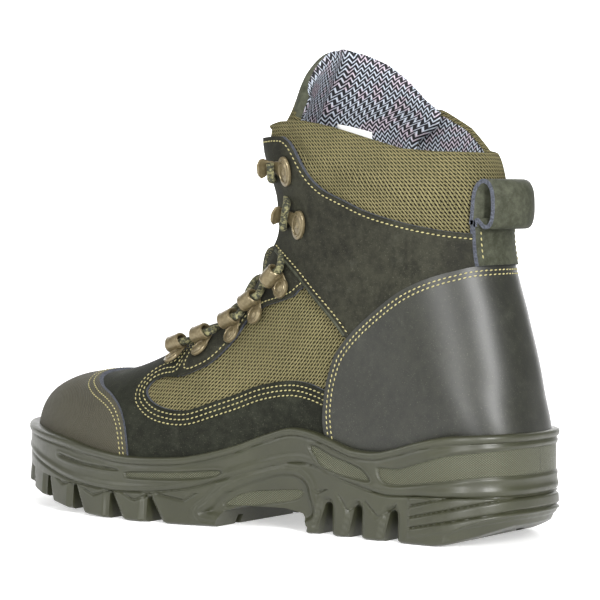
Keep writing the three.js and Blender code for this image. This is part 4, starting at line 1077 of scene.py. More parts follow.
def tongue_grid(rows=72, columns=56):
    """Middle surface of the tongue and its normals."""
    tall = np.linspace(6.3, 19, 120)
    angle = np.linspace(-2.2, 2.2, 441)
    centre = len(angle) // 2
    u, a = np.meshgrid(tall, angle, indexing="ij")
    p, n = last(u, a), normals_at(u, a)
    room = smooth(((p[..., 2] - HEEL_BED) / SHAFT - 0.58) / 0.2)
    middle = p - n * (WALL + 0.6 + PAD_IN * room + TONGUE_THICK / 2)[..., None]
    ridge = middle[:, centre : centre + 1]
    up = unit(np.gradient(ridge, axis=0))
    out = np.stack([up[..., 2], 0 * up[..., 0], -up[..., 0]], -1)
    deep = ((ridge - middle) * out).sum(-1)
    reach = np.array([look_up(TONGUE, tall, k) for k in (1, 2, 3)])[..., None] * HEEL_WIDTH
    wide = np.where(a >= 0, reach[0], reach[1])
    allowed = (np.abs(middle[..., 1]) <= wide) & (deep <= reach[2] - 4)
    columns_at = []
    for i in range(len(tall)):
        bad = np.flatnonzero(~allowed[i])
        low = bad[bad < centre].max(initial=-1) + 1
        high = bad[bad > centre].min(initial=len(angle)) - 1
        way = way_along(middle[i, low : high + 1])
        both = np.concatenate([middle[i, low : high + 1], n[i, low : high + 1]], 1)
        columns_at.append(sampled(both, way, np.linspace(0, way[-1], columns)))
    table = np.array(columns_at)
    above = table[..., 2] - tongue_top(table[..., 0], table[..., 1])
    result = np.zeros((rows, columns, 6))
    for j in range(columns):
        crossed = int(np.argmax(above[:, j] > 0)) or len(tall) - 1
        t = crossed - above[crossed, j] / (above[crossed, j] - above[crossed - 1, j])
        want = t * (1 - (1 - np.linspace(0, 1, rows)) ** 1.25)
        result[:, j] = sampled(table[:, j], np.arange(len(tall)), want)
    return result[..., :3], result[..., 3:]


def edge_way(p):
    """Distance of every point of a grid to its sides, its top and its foot."""
    across = np.cumsum(np.linalg.norm(np.diff(p, axis=1, prepend=p[:, :1]), axis=-1), 1)
    up = np.cumsum(np.linalg.norm(np.diff(p, axis=0, prepend=p[:1]), axis=-1), 0)
    return across, across[:, -1:] - across, up, up[-1:] - up


FOLD_AT, FOLD_DEEP, FOLD_WIDE = -11, 4.5, 4.0  # the tongue's crease: across from its middle


def tongue():
    middle, normal = tongue_grid()
    left, right, foot, top = edge_way(middle)
    rim = np.minimum(np.minimum(left, right), top)
    swell = TONGUE_THICK / 2 * np.sqrt(np.maximum(0, 1 - (1 - np.clip(rim / 4, 0, 1)) ** 2))
    fold = FOLD_DEEP * np.exp(-(((middle[..., 1] - FOLD_AT) / FOLD_WIDE) ** 2)) * smooth(foot / 60)
    puff = 0.5 * np.sin(left / 9) * np.sin(foot / 14)
    middle = middle + normal * (fold + puff)[..., None]
    rows, columns = rim.shape
    skins = [middle + normal * swell[..., None], middle - normal * swell[..., None]]
    chart = np.stack([left, middle[..., 2]], -1)
    corners = np.concatenate([skin.reshape(-1, 3) for skin in skins])
    maps = np.concatenate([chart.reshape(-1, 2)] * 2)
    faces, which = [], []
    half = rows * columns
    for i in range(rows - 1):
        for j in range(columns - 1):
            a = i * columns + j
            b = (a + 1, a + columns + 1, a + columns, a)
            faces += [b[::-1], tuple(half + k for k in b)]
            which += [1 if top[i, j] < PATCH_TALL else 0, 2]
    for j in range(columns - 1):
        faces.append((j, j + 1, half + j + 1, half + j))
        which.append(2)
    finishes = [knit_cloth, leather_strap, lining_cloth]
    made = piece("tongue_padded", corners, faces, finishes, maps, which)
    faced_out(welded(made))
    crisp(made, 70)
    return made


tongue_piece = dress(tongue(), "knit", "tongue")

# %% [markdown]
# ## Rings and hooks
# Every ring is the same pressed part, so one is modelled lying flat and then copied onto the leather: a
# barrel for the lace, a tab with its rivet, and a bead round each mouth. The top hooks are open.


# %% Fittings
SQUARENESS = 0.55  # 1 is a round section, 0 a square one


def seat(u, out, side):
    """Frame of a fitting on the leather: x away from the throat, z out of the leather."""
    want = HEEL_WIDTH * look_up(THROAT, u) + out
    low, high = 0.0, np.pi / 2
    for _ in range(30):
        mid = (low + high) / 2
        if abs(last(u, side * mid)[1]) < want:
            low = mid
        else:
            high = mid
    away = unit(last(u, side * (low + 0.12)) - last(u, side * (low - 0.12)))
    along = (last(u + 0.3, side * low) - last(u - 0.3, side * low)) * side
    normal = unit(np.cross(away, along))
    return last(u, side * low), np.stack([away, np.cross(normal, away), normal], -1)


def swept(name, path, widths, thick, finish, around=12):
    """A pressed strip: a path in x and z, a width along y at each point and rounded edges."""
    path = between(path, np.linspace(0, len(path) - 1, 8 * (len(path) - 1) + 1))
    wide = np.interp(np.linspace(0, 1, len(path)), np.linspace(0, 1, len(widths)), widths) / 2
    along = unit(np.gradient(path, axis=0))
    out = np.stack([-along[:, 1], along[:, 0]], -1)
    turn = np.linspace(0, 2 * np.pi, around, endpoint=False)
    c, s = (np.sign(w) * np.abs(w) ** SQUARENESS for w in (np.cos(turn), np.sin(turn)))
    rings = [
        np.stack([p[0] + o[0] * s * thick / 2, c * w, p[1] + o[1] * s * thick / 2], -1)
        for p, o, w in zip(path, out, wide)
    ]
    corners = np.concatenate(rings)
    n = len(rings)
    faces = [tuple(range(around))[::-1], tuple((n - 1) * around + k for k in range(around))]
    faces += ring_faces(n, around)
    return piece(name, corners * MM, faces, [finish], in_mm=False)


def torus(x, z, radius, thick, upright):
    turn = (math.pi / 2, 0, 0) if upright is not None else (0, 0, 0)
    bpy.ops.mesh.primitive_torus_add(
        major_segments=24, minor_segments=6, major_radius=radius * MM, minor_radius=thick * MM,
        location=(x * MM, (upright or 0) * MM, z * MM), rotation=turn,
    )
    return bpy.context.object


PLATE_TALL = 1.5  # the hooks' plates are oval
PLATE_AT = 6.4  # the rivet's middle, from the barrel's
BARREL_UP, BARREL_ROUND = 3.6, 3.1
RING_SIZE = 1.12
# columns: away from the throat, up
HOOK_PATH = [
    (8.5, 0.7), (6, 0.7), (2, 0.7), (-1.4, 0.9), (-3.3, 2.4), (-3.9, 4.6), (-3.6, 6.6), (-3.1, 8.2),
]
TAB_PATH = [(0, 0.7), (2.5, 0.7), (5, 0.7), (8, 0.7)]


def pressed(name, open_lip):
    """One fitting, lying flat."""
    parts = []
    if open_lip:
        parts.append(swept(name, HOOK_PATH, [7, 8.2, 7, 5, 5.4, 8.4, 8.8, 4.4], 1.3, enamel))
    else:
        turn = np.linspace(-0.5 * np.pi, 1.5 * np.pi, 15)
        path = [(BARREL_ROUND * math.cos(a), BARREL_UP + BARREL_ROUND * math.sin(a)) for a in turn]
        parts.append(swept(name, path, [8.6, 9.2, 9.0, 7.6, 6.4, 6.6, 8, 8.6], 1.1, enamel))
        parts.append(swept(name + "_tab", TAB_PATH, [8.6, 9, 9, 8], 1.2, enamel))
        for y in (-3.3, 3.3):
            parts.append(torus(0, BARREL_UP, BARREL_ROUND, 0.62, y))
    oval = (1, PLATE_TALL if open_lip else 1, 1)
    bpy.ops.mesh.primitive_cylinder_add(
        vertices=28, radius=4.4 * MM, depth=1.5 * MM, location=(PLATE_AT * MM, 0, 0.75 * MM)
    )
    disc = bpy.context.object
    disc.scale = oval
    bpy.ops.object.transform_apply(location=False, rotation=False, scale=True)
    bevel = disc.modifiers.new("round", "BEVEL")
    bevel.width = 0.4 * MM
    bevel.segments = 2
    bpy.ops.object.modifier_apply(modifier="round")
    parts.append(disc)
    contour = torus(PLATE_AT, 1.6, 3.1, 0.38, None)
    contour.scale = oval
    parts.append(contour)
    bpy.ops.mesh.primitive_uv_sphere_add(
        segments=16, ring_count=8, radius=1.9 * MM, location=(PLATE_AT * MM, 0, 1.1 * MM), scale=(1, 1, 0.5)
    )
    parts.append(bpy.context.object)
    for part in parts:
        part.data.transform(Matrix.Scale(RING_SIZE, 4))
        part.location *= RING_SIZE
        part.data.materials.clear()
        part.data.materials.append(enamel)
    joined(name, parts)
    bpy.ops.object.transform_apply(location=True, rotation=True, scale=True)
    bpy.ops.object.shade_smooth_by_angle(angle=math.radians(40))
    return parts[0]


# columns: name, section, how far out from the throat, open
RINGS = [
    ("d_ring_1", 7.5, 6.5, False), ("d_ring_2", 8.25, 6, False), ("d_ring_3", 9.15, 4.5, False),
    ("d_ring_4", 9.95, 3.5, False), ("d_ring_5", 11.05, 3.5, False), ("hook_1", 13.6, 3.5, True),
    ("hook_2", 15.6, 4, True),
]
SEAT_UP = 2.5  # leather under a fitting
patterns = {False: pressed("ring_pattern", False), True: pressed("hook_pattern", True)}
for name, u, out, is_open in RINGS:
    for word, side in (("outer", 1), ("inner", -1)):
        at, axes = seat(u, out, side)
        made = patterns[is_open].copy()
        made.data = patterns[is_open].data.copy()
        made.name = name + "_" + word + "_pressed"
        bpy.context.scene.collection.objects.link(made)
        place = Matrix(axes.tolist()).to_4x4()
        place.translation = Vector(to_frame(at + axes[:, 2] * SEAT_UP))
        made.data.transform(place)
        dress(made, "hardware", name + "_" + word)
for pattern in patterns.values():
    bpy.data.objects.remove(pattern)

# %% [markdown]
# ## Laces
# One round braid crosses from ring to ring. It is swept as a tube along points that lead it through each
# barrel and over the tongue, one strand passing above the other.

# %% Laces
LACE = 3.7
ABOVE, BELOW = 2.6, -1.0  # lift of the two strands where they cross


def through(index, side):
    """Points that lead the lace through one ring."""
    _, u, out, is_open = RINGS[index]
    at, axes = seat(u, out, side)
    x, y, z = axes.T
    way = y * side
    up = SEAT_UP + BARREL_UP * RING_SIZE - 0.4
    base = at - x * (1.2 if is_open else 0.0)
    return [
        base - way * 6.5 - x * 1.8 + z * (up - 1.6), base - way * 2.6 + z * up,
        base + way * 2.6 + z * up, base + way * 6.5 - x * 1.8 + z * (up - 1.6),
    ]


def lace_route(first):
    """Points of one strand, which starts on one side and crosses after every ring."""
    points = []
    for i in range(len(RINGS)):
        side = first if i % 2 == 0 else -first
        if i > 0:
            u = (RINGS[i - 1][1] + RINGS[i][1]) / 2
            points.append(over_ridge(u, ABOVE if (first > 0) == (i % 2 == 0) else BELOW))
        points += through(i, side)[0 if i else 1 : 4 if i < len(RINGS) - 1 else 3]
    return points


def tube(name, route, radius, finish, step=1.1, around=12):
    """A round cord along a route, its map in millimetres along it."""
    path = between(np.array(route), np.linspace(0, len(route) - 1, 24 * (len(route) - 1)))
    way = way_along(path)
    want = np.linspace(0, way[-1], max(4, int(way[-1] / step)))
    path = sampled(path, way, want)
    along = unit(np.gradient(path, axis=0))
    side = np.cross(along[0], (0, 0, 1.0))
    corners, maps = [], []
    turn = np.linspace(0, 2 * np.pi, around, endpoint=False)
    for p, a, w in zip(path, along, want):
        side = side - a * (side @ a)
        side /= np.linalg.norm(side)
        up = np.cross(a, side)
        corners.append(p + radius * (np.cos(turn)[:, None] * side + np.sin(turn)[:, None] * up))
        maps.append(np.stack([np.full(around, w), turn / (2 * np.pi)], -1))
    n = len(path)
    faces = [tuple(range(around)), tuple((n - 1) * around + k for k in range(around))[::-1]]
    faces += ring_faces(n, around, flip=True)
    return piece(name, np.concatenate(corners), faces, [finish], np.concatenate(maps))


inner_end, outer_end = through(0, -1), through(0, 1)
bar = [inner_end[1], inner_end[0], over_ridge(7.35, 2.4), outer_end[0], outer_end[1]]
strands = [tube("lace", lace_route(first), LACE / 2, lace_braid) for first in (1, -1)]
strands.append(tube("lace", bar, LACE / 2, lace_braid))
laces = dress(joined("lace_braided", strands), "lace", "laces")

# %% [markdown]
# ## Sole
# The wall of the sole is a fine grid of stations round the outline and levels up the side. Pushing its
# points in and out draws the bead, the sunk panels and the ribs, as the mould does in the real rubber.

# %% Sole outline
# columns: along, half width, centre, in shares of the length and of the ball's width
SOLE_PLAN = [
    (0.0, 0.378, 0), (0.1, 0.376, 0), (0.165, 0.367, 0.004), (0.231, 0.354, 0.014),
    (0.297, 0.34, 0.019), (0.363, 0.326, 0.028), (0.429, 0.338, 0.036), (0.495, 0.382, 0.042),
    (0.561, 0.43, 0.042), (0.627, 0.467, 0.033), (0.693, 0.481, 0.019), (0.759, 0.475, 0.001),
    (0.825, 0.474, -0.013), (0.891, 0.478, -0.022), (1.0, 0.478, -0.032),
]
# columns: along, share of the cup's height over the bed
RIM = [
    (0.0, 0.980), (0.09, 0.920), (0.14, 0.780), (0.165, 0.680), (0.21, 0.540), (0.257, 0.567),
    (0.294, 0.746), (0.333, 0.917), (0.375, 1.019), (0.43, 0.860), (0.465, 0.720), (0.51, 0.607),
    (0.555, 0.526), (0.614, 0.508), (0.67, 0.500), (0.72, 0.555), (0.76, 0.600), (0.81, 0.667),
    (0.86, 0.679), (0.92, 0.660), (1.0, 0.600),
]
# columns: along, share of the bed's height
GROOVE = [
    (0.0, 0.852), (0.145, 0.815), (0.191, 0.778), (0.238, 0.890), (0.277, 1.015), (0.314, 1.193),
    (0.353, 1.335), (0.389, 1.325), (0.439, 1.231), (0.498, 1.041), (0.551, 0.878), (0.614, 0.786),
    (0.677, 0.737), (0.739, 0.752), (0.805, 0.841), (0.865, 0.969), (0.94, 1.071), (1.0, 1.074),
]
STATIONS = 900
SOLE_FLOOR = 4.5
SOLE_BACK, SOLE_FRONT = 2.2, 2.5  # how far the sole stands out past the form
HEEL_POWER, TOE_POWER = 2.45, 1.8  # roundness of its two ends


def eased(rows, column=1, window=0.03):
    """A table's column as a smooth function of the share along the length."""
    at = np.linspace(-0.1, 1.1, 1201)
    values = look_up(rows, at, column)
    weight = np.hanning(int(window * 1000) * 2 + 3)
    return at, np.convolve(np.pad(values, len(weight) // 2, mode="edge"), weight / weight.sum(), "valid")


RIM_EASED, GROOVE_EASED = eased(RIM), eased(GROOVE)


def rim(x):
    return bed(x) + CUP_HEIGHT * np.interp(x / LENGTH, *RIM_EASED)


def seam(x):
    """Height of the ledge that runs round the side above the lugs."""
    return bed(x) * np.interp(x / LENGTH, *GROOVE_EASED)


def split(x):
    """Height of the joint between midsole and outsole."""
    return np.minimum(seam(x), bed(x) - SOLE_FLOOR)


def bump(away, width):
    """A soft ridge: 1 where away is 0."""
    return np.exp(-((away / width) ** 2))


def under(x):
    """Height of the tread over the floor: a bevel at the heel and the spring of the toe."""
    heel = 8.5 * np.clip(1 - x / 34, 0, 1) ** 1.6
    return heel + 14 * np.clip((x / LENGTH - 0.7) / 0.3, 0, 1) ** 1.7


def sole_plan():
    """Points of the outline from the heel along the inner side and back along the outer, and the ways out."""
    halves, centres = eased(SOLE_PLAN, 1), eased(SOLE_PLAN, 2)
    sides = []
    for side in (-1, 1):
        share = (1 - np.cos(np.linspace(0, np.pi, 4001))) / 2
        heel = np.clip(1 - share / 0.15, 0, 1) ** HEEL_POWER
        toe = np.clip(1 - (1 - share) / 0.25, 0, 1) ** TOE_POWER
        half = np.interp(share, *halves) * (1 - heel) ** (1 / HEEL_POWER) * (1 - toe) ** (1 / TOE_POWER)
        y = BALL_WIDTH * (np.interp(share, *centres) + side * half)
        p = np.stack([mix(-SOLE_BACK, LENGTH + SOLE_FRONT, share), y], -1)
        way = way_along(p)
        sides.append(sampled(p, way, np.linspace(0, way[-1], STATIONS // 2 + 1)))
    loop_points = np.concatenate([sides[0], sides[1][-2:0:-1]])
    along = unit(np.roll(loop_points, -2, 0) - np.roll(loop_points, 2, 0))
    return loop_points, np.stack([along[:, 1], -along[:, 0]], -1)


plan, plan_out = sole_plan()
plan_way = way_along(plan)


def sole_spot(rows):
    """Points of the sole's side from shares of the length and of the bed's height there."""
    rows = np.array(rows, float)
    return np.stack([rows[:, 0] * LENGTH, rows[:, 1] * bed(rows[:, 0] * LENGTH)], -1)


def closed_spot(rows, finer=6):
    """A smooth closed outline through points of the sole's side."""
    p = sole_spot(rows)
    n = len(p)
    t = np.linspace(0, n, n * finer, endpoint=False)
    return between(np.concatenate([p[-2:], p, p[:3]]), t + 2)


# outlines on the sole's side: shares of the length and of the bed's height
PANELS = [
    [(0.337, 1.57), (0.328, 1.65), (0.29, 1.44), (0.252, 1.30), (0.23, 1.19), (0.219, 1.00),
     (0.252, 1.02), (0.29, 1.10), (0.313, 1.21)],
    [(0.206, 1.26), (0.169, 1.28), (0.124, 1.43), (0.065, 1.59), (-0.05, 1.67), (-0.05, 1.22),
     (0.037, 1.15), (0.106, 1.04), (0.188, 0.96)],
    [(0.495, 1.30), (0.56, 1.32), (0.66, 1.29), (0.668, 1.16), (0.655, 1.08), (0.56, 1.09), (0.5, 1.14)],
    [(0.69, 1.34), (0.76, 1.36), (0.83, 1.42), (0.83, 1.32), (0.76, 1.26), (0.69, 1.24)],
]
HOLLOW = [
    (0.34, 0.20), (0.335, 0.78), (0.352, 1.07), (0.385, 1.17), (0.43, 1.09), (0.48, 0.88),
    (0.51, 0.53), (0.515, 0.24),
]
OVAL = [
    (0.487, 0.46), (0.485, 0.595), (0.46, 0.767), (0.423, 0.838), (0.372, 0.847), (0.352, 0.78),
    (0.36, 0.62), (0.39, 0.535), (0.443, 0.46),
]
CHEVRONS = [
    [(0.334, 1.0), (0.32, 0.759), (0.302, 0.85)], [(0.279, 0.73), (0.262, 0.47), (0.242, 0.62)],
    [(0.229, 0.66), (0.203, 0.4), (0.171, 0.65)], [(0.846, 0.84), (0.824, 0.70), (0.794, 0.82)],
    [(0.768, 0.70), (0.742, 0.56), (0.71, 0.72)], [(0.676, 0.72), (0.65, 0.55), (0.627, 0.68)],
    [(0.604, 0.74), (0.556, 0.6), (0.532, 0.82)],
]
HEEL_RIBS = [(0.65, 1.05), (0.46, 0.83), (0.28, 0.61)]  # front and back height of each groove
RIBS_FROM = 0.146
LENS = [
    (0.088, -0.2), (0.084, 0.196), (0.06, 0.36), (0.027, 0.491), (0.0, 0.55), (-0.06, 0.56),
    (-0.06, -0.2),
]
WAIST = [
    (0.343, -0.2), (0.338, 0.12), (0.352, 0.36), (0.385, 0.45), (0.46, 0.48), (0.492, 0.36),
    (0.508, -0.2),
]
# columns: along, width of the top, height as a share of the bed's, spread to the toe and to the heel
LUG_GAPS = [
    (0.176, 4.6, 0.56, 3.5, 0.3), (0.243, 4.6, 0.59, 3.5, 0.3), (0.3, 4.6, 0.61, 4.5, 0.3),
    (0.62, 3, 0.68, 0.5, 7), (0.7, 3, 0.70, 0.5, 7), (0.79, 3, 0.76, 0.5, 7),
    (0.872, 3, 0.8, 0.5, 6), (0.94, 3, 0.88, 0.5, 4),
]


def dent(d, depth, ramp):
    """How deep a point lies in a sunk shape, from its signed distance."""
    return -depth * smooth(-d / ramp)


def gap_shape(gap, grow=0.0, shift=0.0):
    """The arch between two lugs: a narrow round top that opens to both sides down to the floor."""
    at, neck, up, front, back = gap
    x, top = at * LENGTH + shift, up * bed(at * LENGTH) + grow
    half = neck / 2 + grow
    t = np.linspace(0, np.pi, 9)
    arch = np.stack([x + half * np.cos(t), top - half + half * np.sin(t)], -1)
    foot = [(x + half + front, 0), (x + half + front, -9), (x - half - back, -9), (x - half - back, 0)]
    return np.concatenate([foot[1::-1], arch, foot[:1:-1]])


def midsole_side(x, z):
    flat = np.stack([x, z], -1)
    top = rim(x) - z
    out = 0.9 * np.sqrt(np.clip(np.sin(np.pi * np.clip(top / 3.6, 0, 1)), 0, 1))
    out = out - 0.45 * bump(top - 4.1, 0.5) + 0.55 * bump(z - seam(x) - 2.6, 1.5)
    out = out - 0.8 * bump(z - seam(x), 0.6)
    hatch = np.zeros_like(x)
    for rows in PANELS:
        d = distance(flat, closed_spot(rows))
        deep = mix(0.55, 0.95, smooth((x - 4) / 20))
        out = out + dent(d, 1, 0.8) * deep + 0.2 * bump(d - 0.8, 0.6)
        hatch = np.maximum(hatch, smooth((-d - 0.7) / 0.5))
    return out + waist_side(flat), hatch


def waist_side(flat):
    """The hollow of the waist with two ridges round it."""
    d = distance(flat, closed_spot(HOLLOW))
    return dent(d, 2.2, 3.0) + 0.55 * bump(d - 1.2, 0.8) + 0.4 * bump(d - 3.6, 0.7)


def outsole_side(x, z):
    flat = np.stack([x, z], -1)
    low = z - under(x)
    out = 0.8 * (1 - low / (split(x) - under(x))) - 2.2 * np.clip(1 - low / 1.4, 0, 1) ** 2
    out = out - 0.8 * bump(z - seam(x), 0.6) + waist_side(flat)
    for rows in CHEVRONS:
        out = out - 0.9 * bump(distance(flat, sole_spot(rows), closed=False), 0.6)
    for gap in LUG_GAPS:
        for grow, depth in ((2.6, 0.7), (1.5, 0.8)):
            out = out + dent(distance(flat, gap_shape(gap, grow, 0.8)), depth, 0.45)
    oval = distance(flat, closed_spot(OVAL))
    out = out + dent(oval, 0.7, 0.8)
    back = np.clip(x / (RIBS_FROM * LENGTH), 0, 1)
    zone = smooth((RIBS_FROM * LENGTH - x) / 1.2 + 0.5)
    top_rib = HEEL_BED * mix(1.26, 0.84, back)
    foot_rib = HEEL_BED * mix(0.44, 0.1, back)
    out = out + 0.6 * zone * smooth(top_rib - z) * smooth(z - foot_rib)
    for front, rear in HEEL_RIBS:
        out = out - zone * 1.15 * bump(z - HEEL_BED * mix(rear, front, back), 0.62)
    lens = distance(flat, sole_spot(LENS))
    out = out - 0.7 * smooth(-lens / 0.7) - 0.5 * np.clip(-lens, 0, 9)
    return out, smooth((-oval - 0.5) / 0.5)


print("sole outline:", len(plan), "stations, round", round(float(plan_way[-1])), "mm")

# %% [markdown]
# The midsole is a cup. Its inner wall is found by sending a ray inwards from every station until it meets
# the grown form, so the rubber closes on the leather all round with no gap.


# %% Midsole and outsole
def wall(side, low, high, levels):
    """Rings of wall points, their map and the hatch mask."""
    t = np.linspace(0, 1, levels)[:, None]
    x = np.repeat(plan[None, :, 0], levels, 0)
    z = mix(low(plan[:, 0]), high(plan[:, 0]), t)
    out, hatch = side(x, z)
    y = plan[:, 1] + plan_out[:, 1] * out
    rings = np.stack([plan[:, 0] + plan_out[:, 0] * out, y, z], -1)
    chart = np.stack([np.repeat(plan_way[None], levels, 0), z], -1)
    return rings, chart, hatch


def strip_faces(first, n, upwards):
    faces = [(first, first + 1, first + n - 1)]
    faces += [(first + k, first + k + 1, first + n - k - 1, first + n - k) for k in range(1, n // 2 - 1)]
    faces.append((first + n // 2 - 1, first + n // 2, first + n // 2 + 1))
    return faces if upwards else [face[::-1] for face in faces]


def sole_piece(name, rings, chart, hatch):
    n = len(plan)
    count = len(rings)
    faces = ring_faces(count, n) + strip_faces(0, n, False) + strip_faces((count - 1) * n, n, True)
    made = piece(name, rings.reshape(-1, 3), faces, [sole_rubber], chart.reshape(-1, 2))
    mask = made.data.attributes.new("hatch", "FLOAT", "POINT")
    mask.data.foreach_set("value", hatch.astype(np.float32).ravel())
    return made


def cup_rings(levels=7):
    """Rings down the inside of the cup, just under the leather's surface."""
    form = shell("cup_form", 1.3 + wave * 0.3 + PAD_OUT * full, -2 + 0 * wave, [raw_edge])
    tree = BVHTree.FromObject(form, bpy.context.evaluated_depsgraph_get())
    rings = np.zeros((levels, len(plan), 3))
    for k, (p, out) in enumerate(zip(plan, plan_out)):
        reach = 14.0
        for i in range(levels):
            z = mix(rim(p[0]) - 0.1, bed(p[0]) + 0.8, i / (levels - 1))
            start = to_frame((*(p + out * 12), z))
            hit = tree.ray_cast(Vector(start), Vector((-out[0], -out[1], 0)), 0.06)
            if hit[0] is not None:
                reach = hit[3] / MM - 12
            rings[i, k] = (*(p - out * max(reach, 1.0)), z)
    bpy.data.objects.remove(form)
    return rings


def midsole():
    side, chart, hatch = wall(midsole_side, split, rim, 52)
    side[-1, :, :2] -= plan_out * 0.9
    inner = cup_rings()
    lip = mix(side[-1], inner[0], 0.5)[None]
    floor_ring = inner[-1:] - (0, 0, 1.1)
    rings = np.concatenate([side, lip, inner, floor_ring])
    extra = len(rings) - len(side)
    chart = np.concatenate([chart, np.repeat(chart[-1:], extra, 0)])
    hatch = np.concatenate([hatch, np.zeros((extra, len(plan)))])
    return sole_piece("midsole_cup", rings, chart, hatch)


def outsole():
    made = sole_piece("outsole_tread", *wall(outsole_side, under, split, 46))
    cut(made, prism("waist_arch", sole_spot(WAIST)), "DIFFERENCE")
    cut(made, gap_cutter(), "DIFFERENCE")
    cut(made, ring_cutter(), "DIFFERENCE")
    made.data.materials.clear()
    made.data.materials.append(sole_rubber)
    made.data.polygons.foreach_set("material_index", [0] * len(made.data.polygons))
    return made


LUG_DEPTH = 15
CHANNEL = (15, 19, 4.5)  # inner ring channel of the tread: from, to and depth


def gap_cutter():
    """Deep arches at both sides, joined across the sole by a shallow channel."""
    parts = []
    for gap in LUG_GAPS:
        arch = gap_shape(gap)
        x = gap[0] * LENGTH
        share = (x + SOLE_BACK) / (LENGTH + SOLE_BACK + SOLE_FRONT)
        half, centre = (look_up(SOLE_PLAN, share, k) * BALL_WIDTH for k in (1, 2))
        low = arch.copy()
        low[:, 1] = np.minimum(low[:, 1], under(x) + CHANNEL[2])
        right, left = centre - half + LUG_DEPTH, centre + half - LUG_DEPTH
        stations = [(-95, arch), (right, arch), (right + 1, low), (left - 1, low), (left, arch), (95, arch)]
        n = len(arch)
        corners = [(a, y, z) for y, section in stations for a, z in section]
        faces = [tuple(range(n)), tuple(range(5 * n, 6 * n))[::-1]] + ring_faces(6, n, flip=True)
        parts.append(piece("gap", corners, faces, [sole_rubber]))
    return faced_out(joined("gaps", parts))


def ring_cutter():
    """A channel that follows the outline under the sole."""
    step = 10
    p, out = plan[::step], plan_out[::step]
    n = len(p)
    rings = []
    for depth, top in ((CHANNEL[0], False), (CHANNEL[0], True), (CHANNEL[1], True), (CHANNEL[1], False)):
        q = p - out * depth
        z = under(p[:, 0]) + CHANNEL[2] if top else np.full(n, -9.0)
        rings.append(np.column_stack([q, z]))
    k = np.arange(n)
    faces = []
    for i in range(4):
        a, b = i * n + k, i * n + np.roll(k, -1)
        c, d = (i + 1) % 4 * n + np.roll(k, -1), (i + 1) % 4 * n + k
        faces += np.stack([a, b, c, d], -1).tolist()
    made = piece("ring", np.concatenate(rings), faces, [sole_rubber])
    return faced_out(made)


for made, degrees, node in ((midsole(), 60, "midsole"), (outsole(), 50, "outsole")):
    crisp(made, degrees)
    dress(made, "sole_rubber", node)

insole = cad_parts["insole"]
insole.data.materials.clear()
insole.data.materials.append(lining_cloth)

# %% [markdown]
# ## Seams
# A row of stitches keeps its distance from the edge of its panel. The rows are found as contour lines of
# that distance on the form's grid, so they run round the heel and over the toe without a break.


# %% Contours
def trace(field, surface, keep):
    """Lines on the grid where a field is zero, as points with normals, longer runs only."""
    rows = len(field)
    flat_p, flat_n = surface.reshape(-1, 3), normals.reshape(-1, 3)
    f = field.reshape(-1)
    links = {}
    i, j = np.meshgrid(np.arange(rows - 1), np.arange(ROUND), indexing="ij")
    a, b = i * ROUND + j, i * ROUND + (j + 1) % ROUND
    for triangle in (np.stack([a, b, b + ROUND], -1), np.stack([a, b + ROUND, a + ROUND], -1)):
        signs = (f[triangle] > 0).sum(-1)
        for three in triangle[(signs == 1) | (signs == 2)]:
            ends = [
                tuple(sorted((int(three[k]), int(three[(k + 1) % 3]))))
                for k in range(3)
                if (f[three[k]] > 0) != (f[three[(k + 1) % 3]] > 0)
            ]
            links.setdefault(ends[0], []).append(ends[1])
            links.setdefault(ends[1], []).append(ends[0])

    def point(key):
        t = f[key[0]] / (f[key[0]] - f[key[1]])
        return np.concatenate([mix(field[key[0]], field[key[1]], t) for field in (flat_p, flat_n)])

    table = {key: point(key) for key in links}
    kept = keep(np.array([p[:3] for p in table.values()]))
    good = {key for key, k in zip(table, kept) if k}
    runs, seen = [], set()
    ends = [key for key in good if sum(other in good for other in links[key]) < 2]
    for start in ends + sorted(good):
        if start in seen:
            continue
        run, key = [], start
        while key is not None:
            seen.add(key)
            run.append(table[key])
            key = next((other for other in links[key] if other in good and other not in seen), None)
        if len(run) > 3:
            runs.append(np.array(run))
    return runs


def respaced(run, pitch):
    """A run smoothed a little and cut into even steps."""
    smoothed = run.copy()
    for _ in range(3):
        smoothed[1:-1] = (smoothed[:-2] + 2 * smoothed[1:-1] + smoothed[2:]) / 4
    way = way_along(smoothed[:, :3])
    return sampled(smoothed, way, np.linspace(0, way[-1], max(2, int(round(way[-1] / pitch)) + 1)))


def outside(p, path, margin=0.6):
    return distance(p[:, [0, 2]], path) > margin


RIDGE_ROWS = np.linspace(0, 18, 181)
RIDGE_LINE = last(RIDGE_ROWS, 0)


def beyond_throat(p, margin=1.2):
    """Whether points lie on leather beside the opening between the lace rows."""
    gaps = np.linalg.norm(RIDGE_LINE[None, :, [0, 2]] - p[:, None, [0, 2]], axis=-1)
    u = RIDGE_ROWS[np.argmin(gaps, 1)]
    return (u < 6.45) | (gaps.min(1) > 40) | (np.abs(p[:, 1]) > HEEL_WIDTH * look_up(THROAT, u) + margin)


COVERS = {
    "vamp": (toe_line, eyestay_line, quarter_line, counter_line),
    "eyestay": (quarter_line, counter_line),
    "quarter": (counter_line,),
    "counter": (),
    "toe_cap": (),
}
# panel, its outline, the rows' distances in from its edge
SEAMS = [
    ("toe_cap", toe_line, (2.2, 4.6)), ("vamp", vamp_line, (2.0, 4.4, 6.8)),
    ("eyestay", eyestay_line, (2.2,)), ("quarter", quarter_line, (2.2,)),
    ("counter", counter_line, (2.2, 4.2)),
]


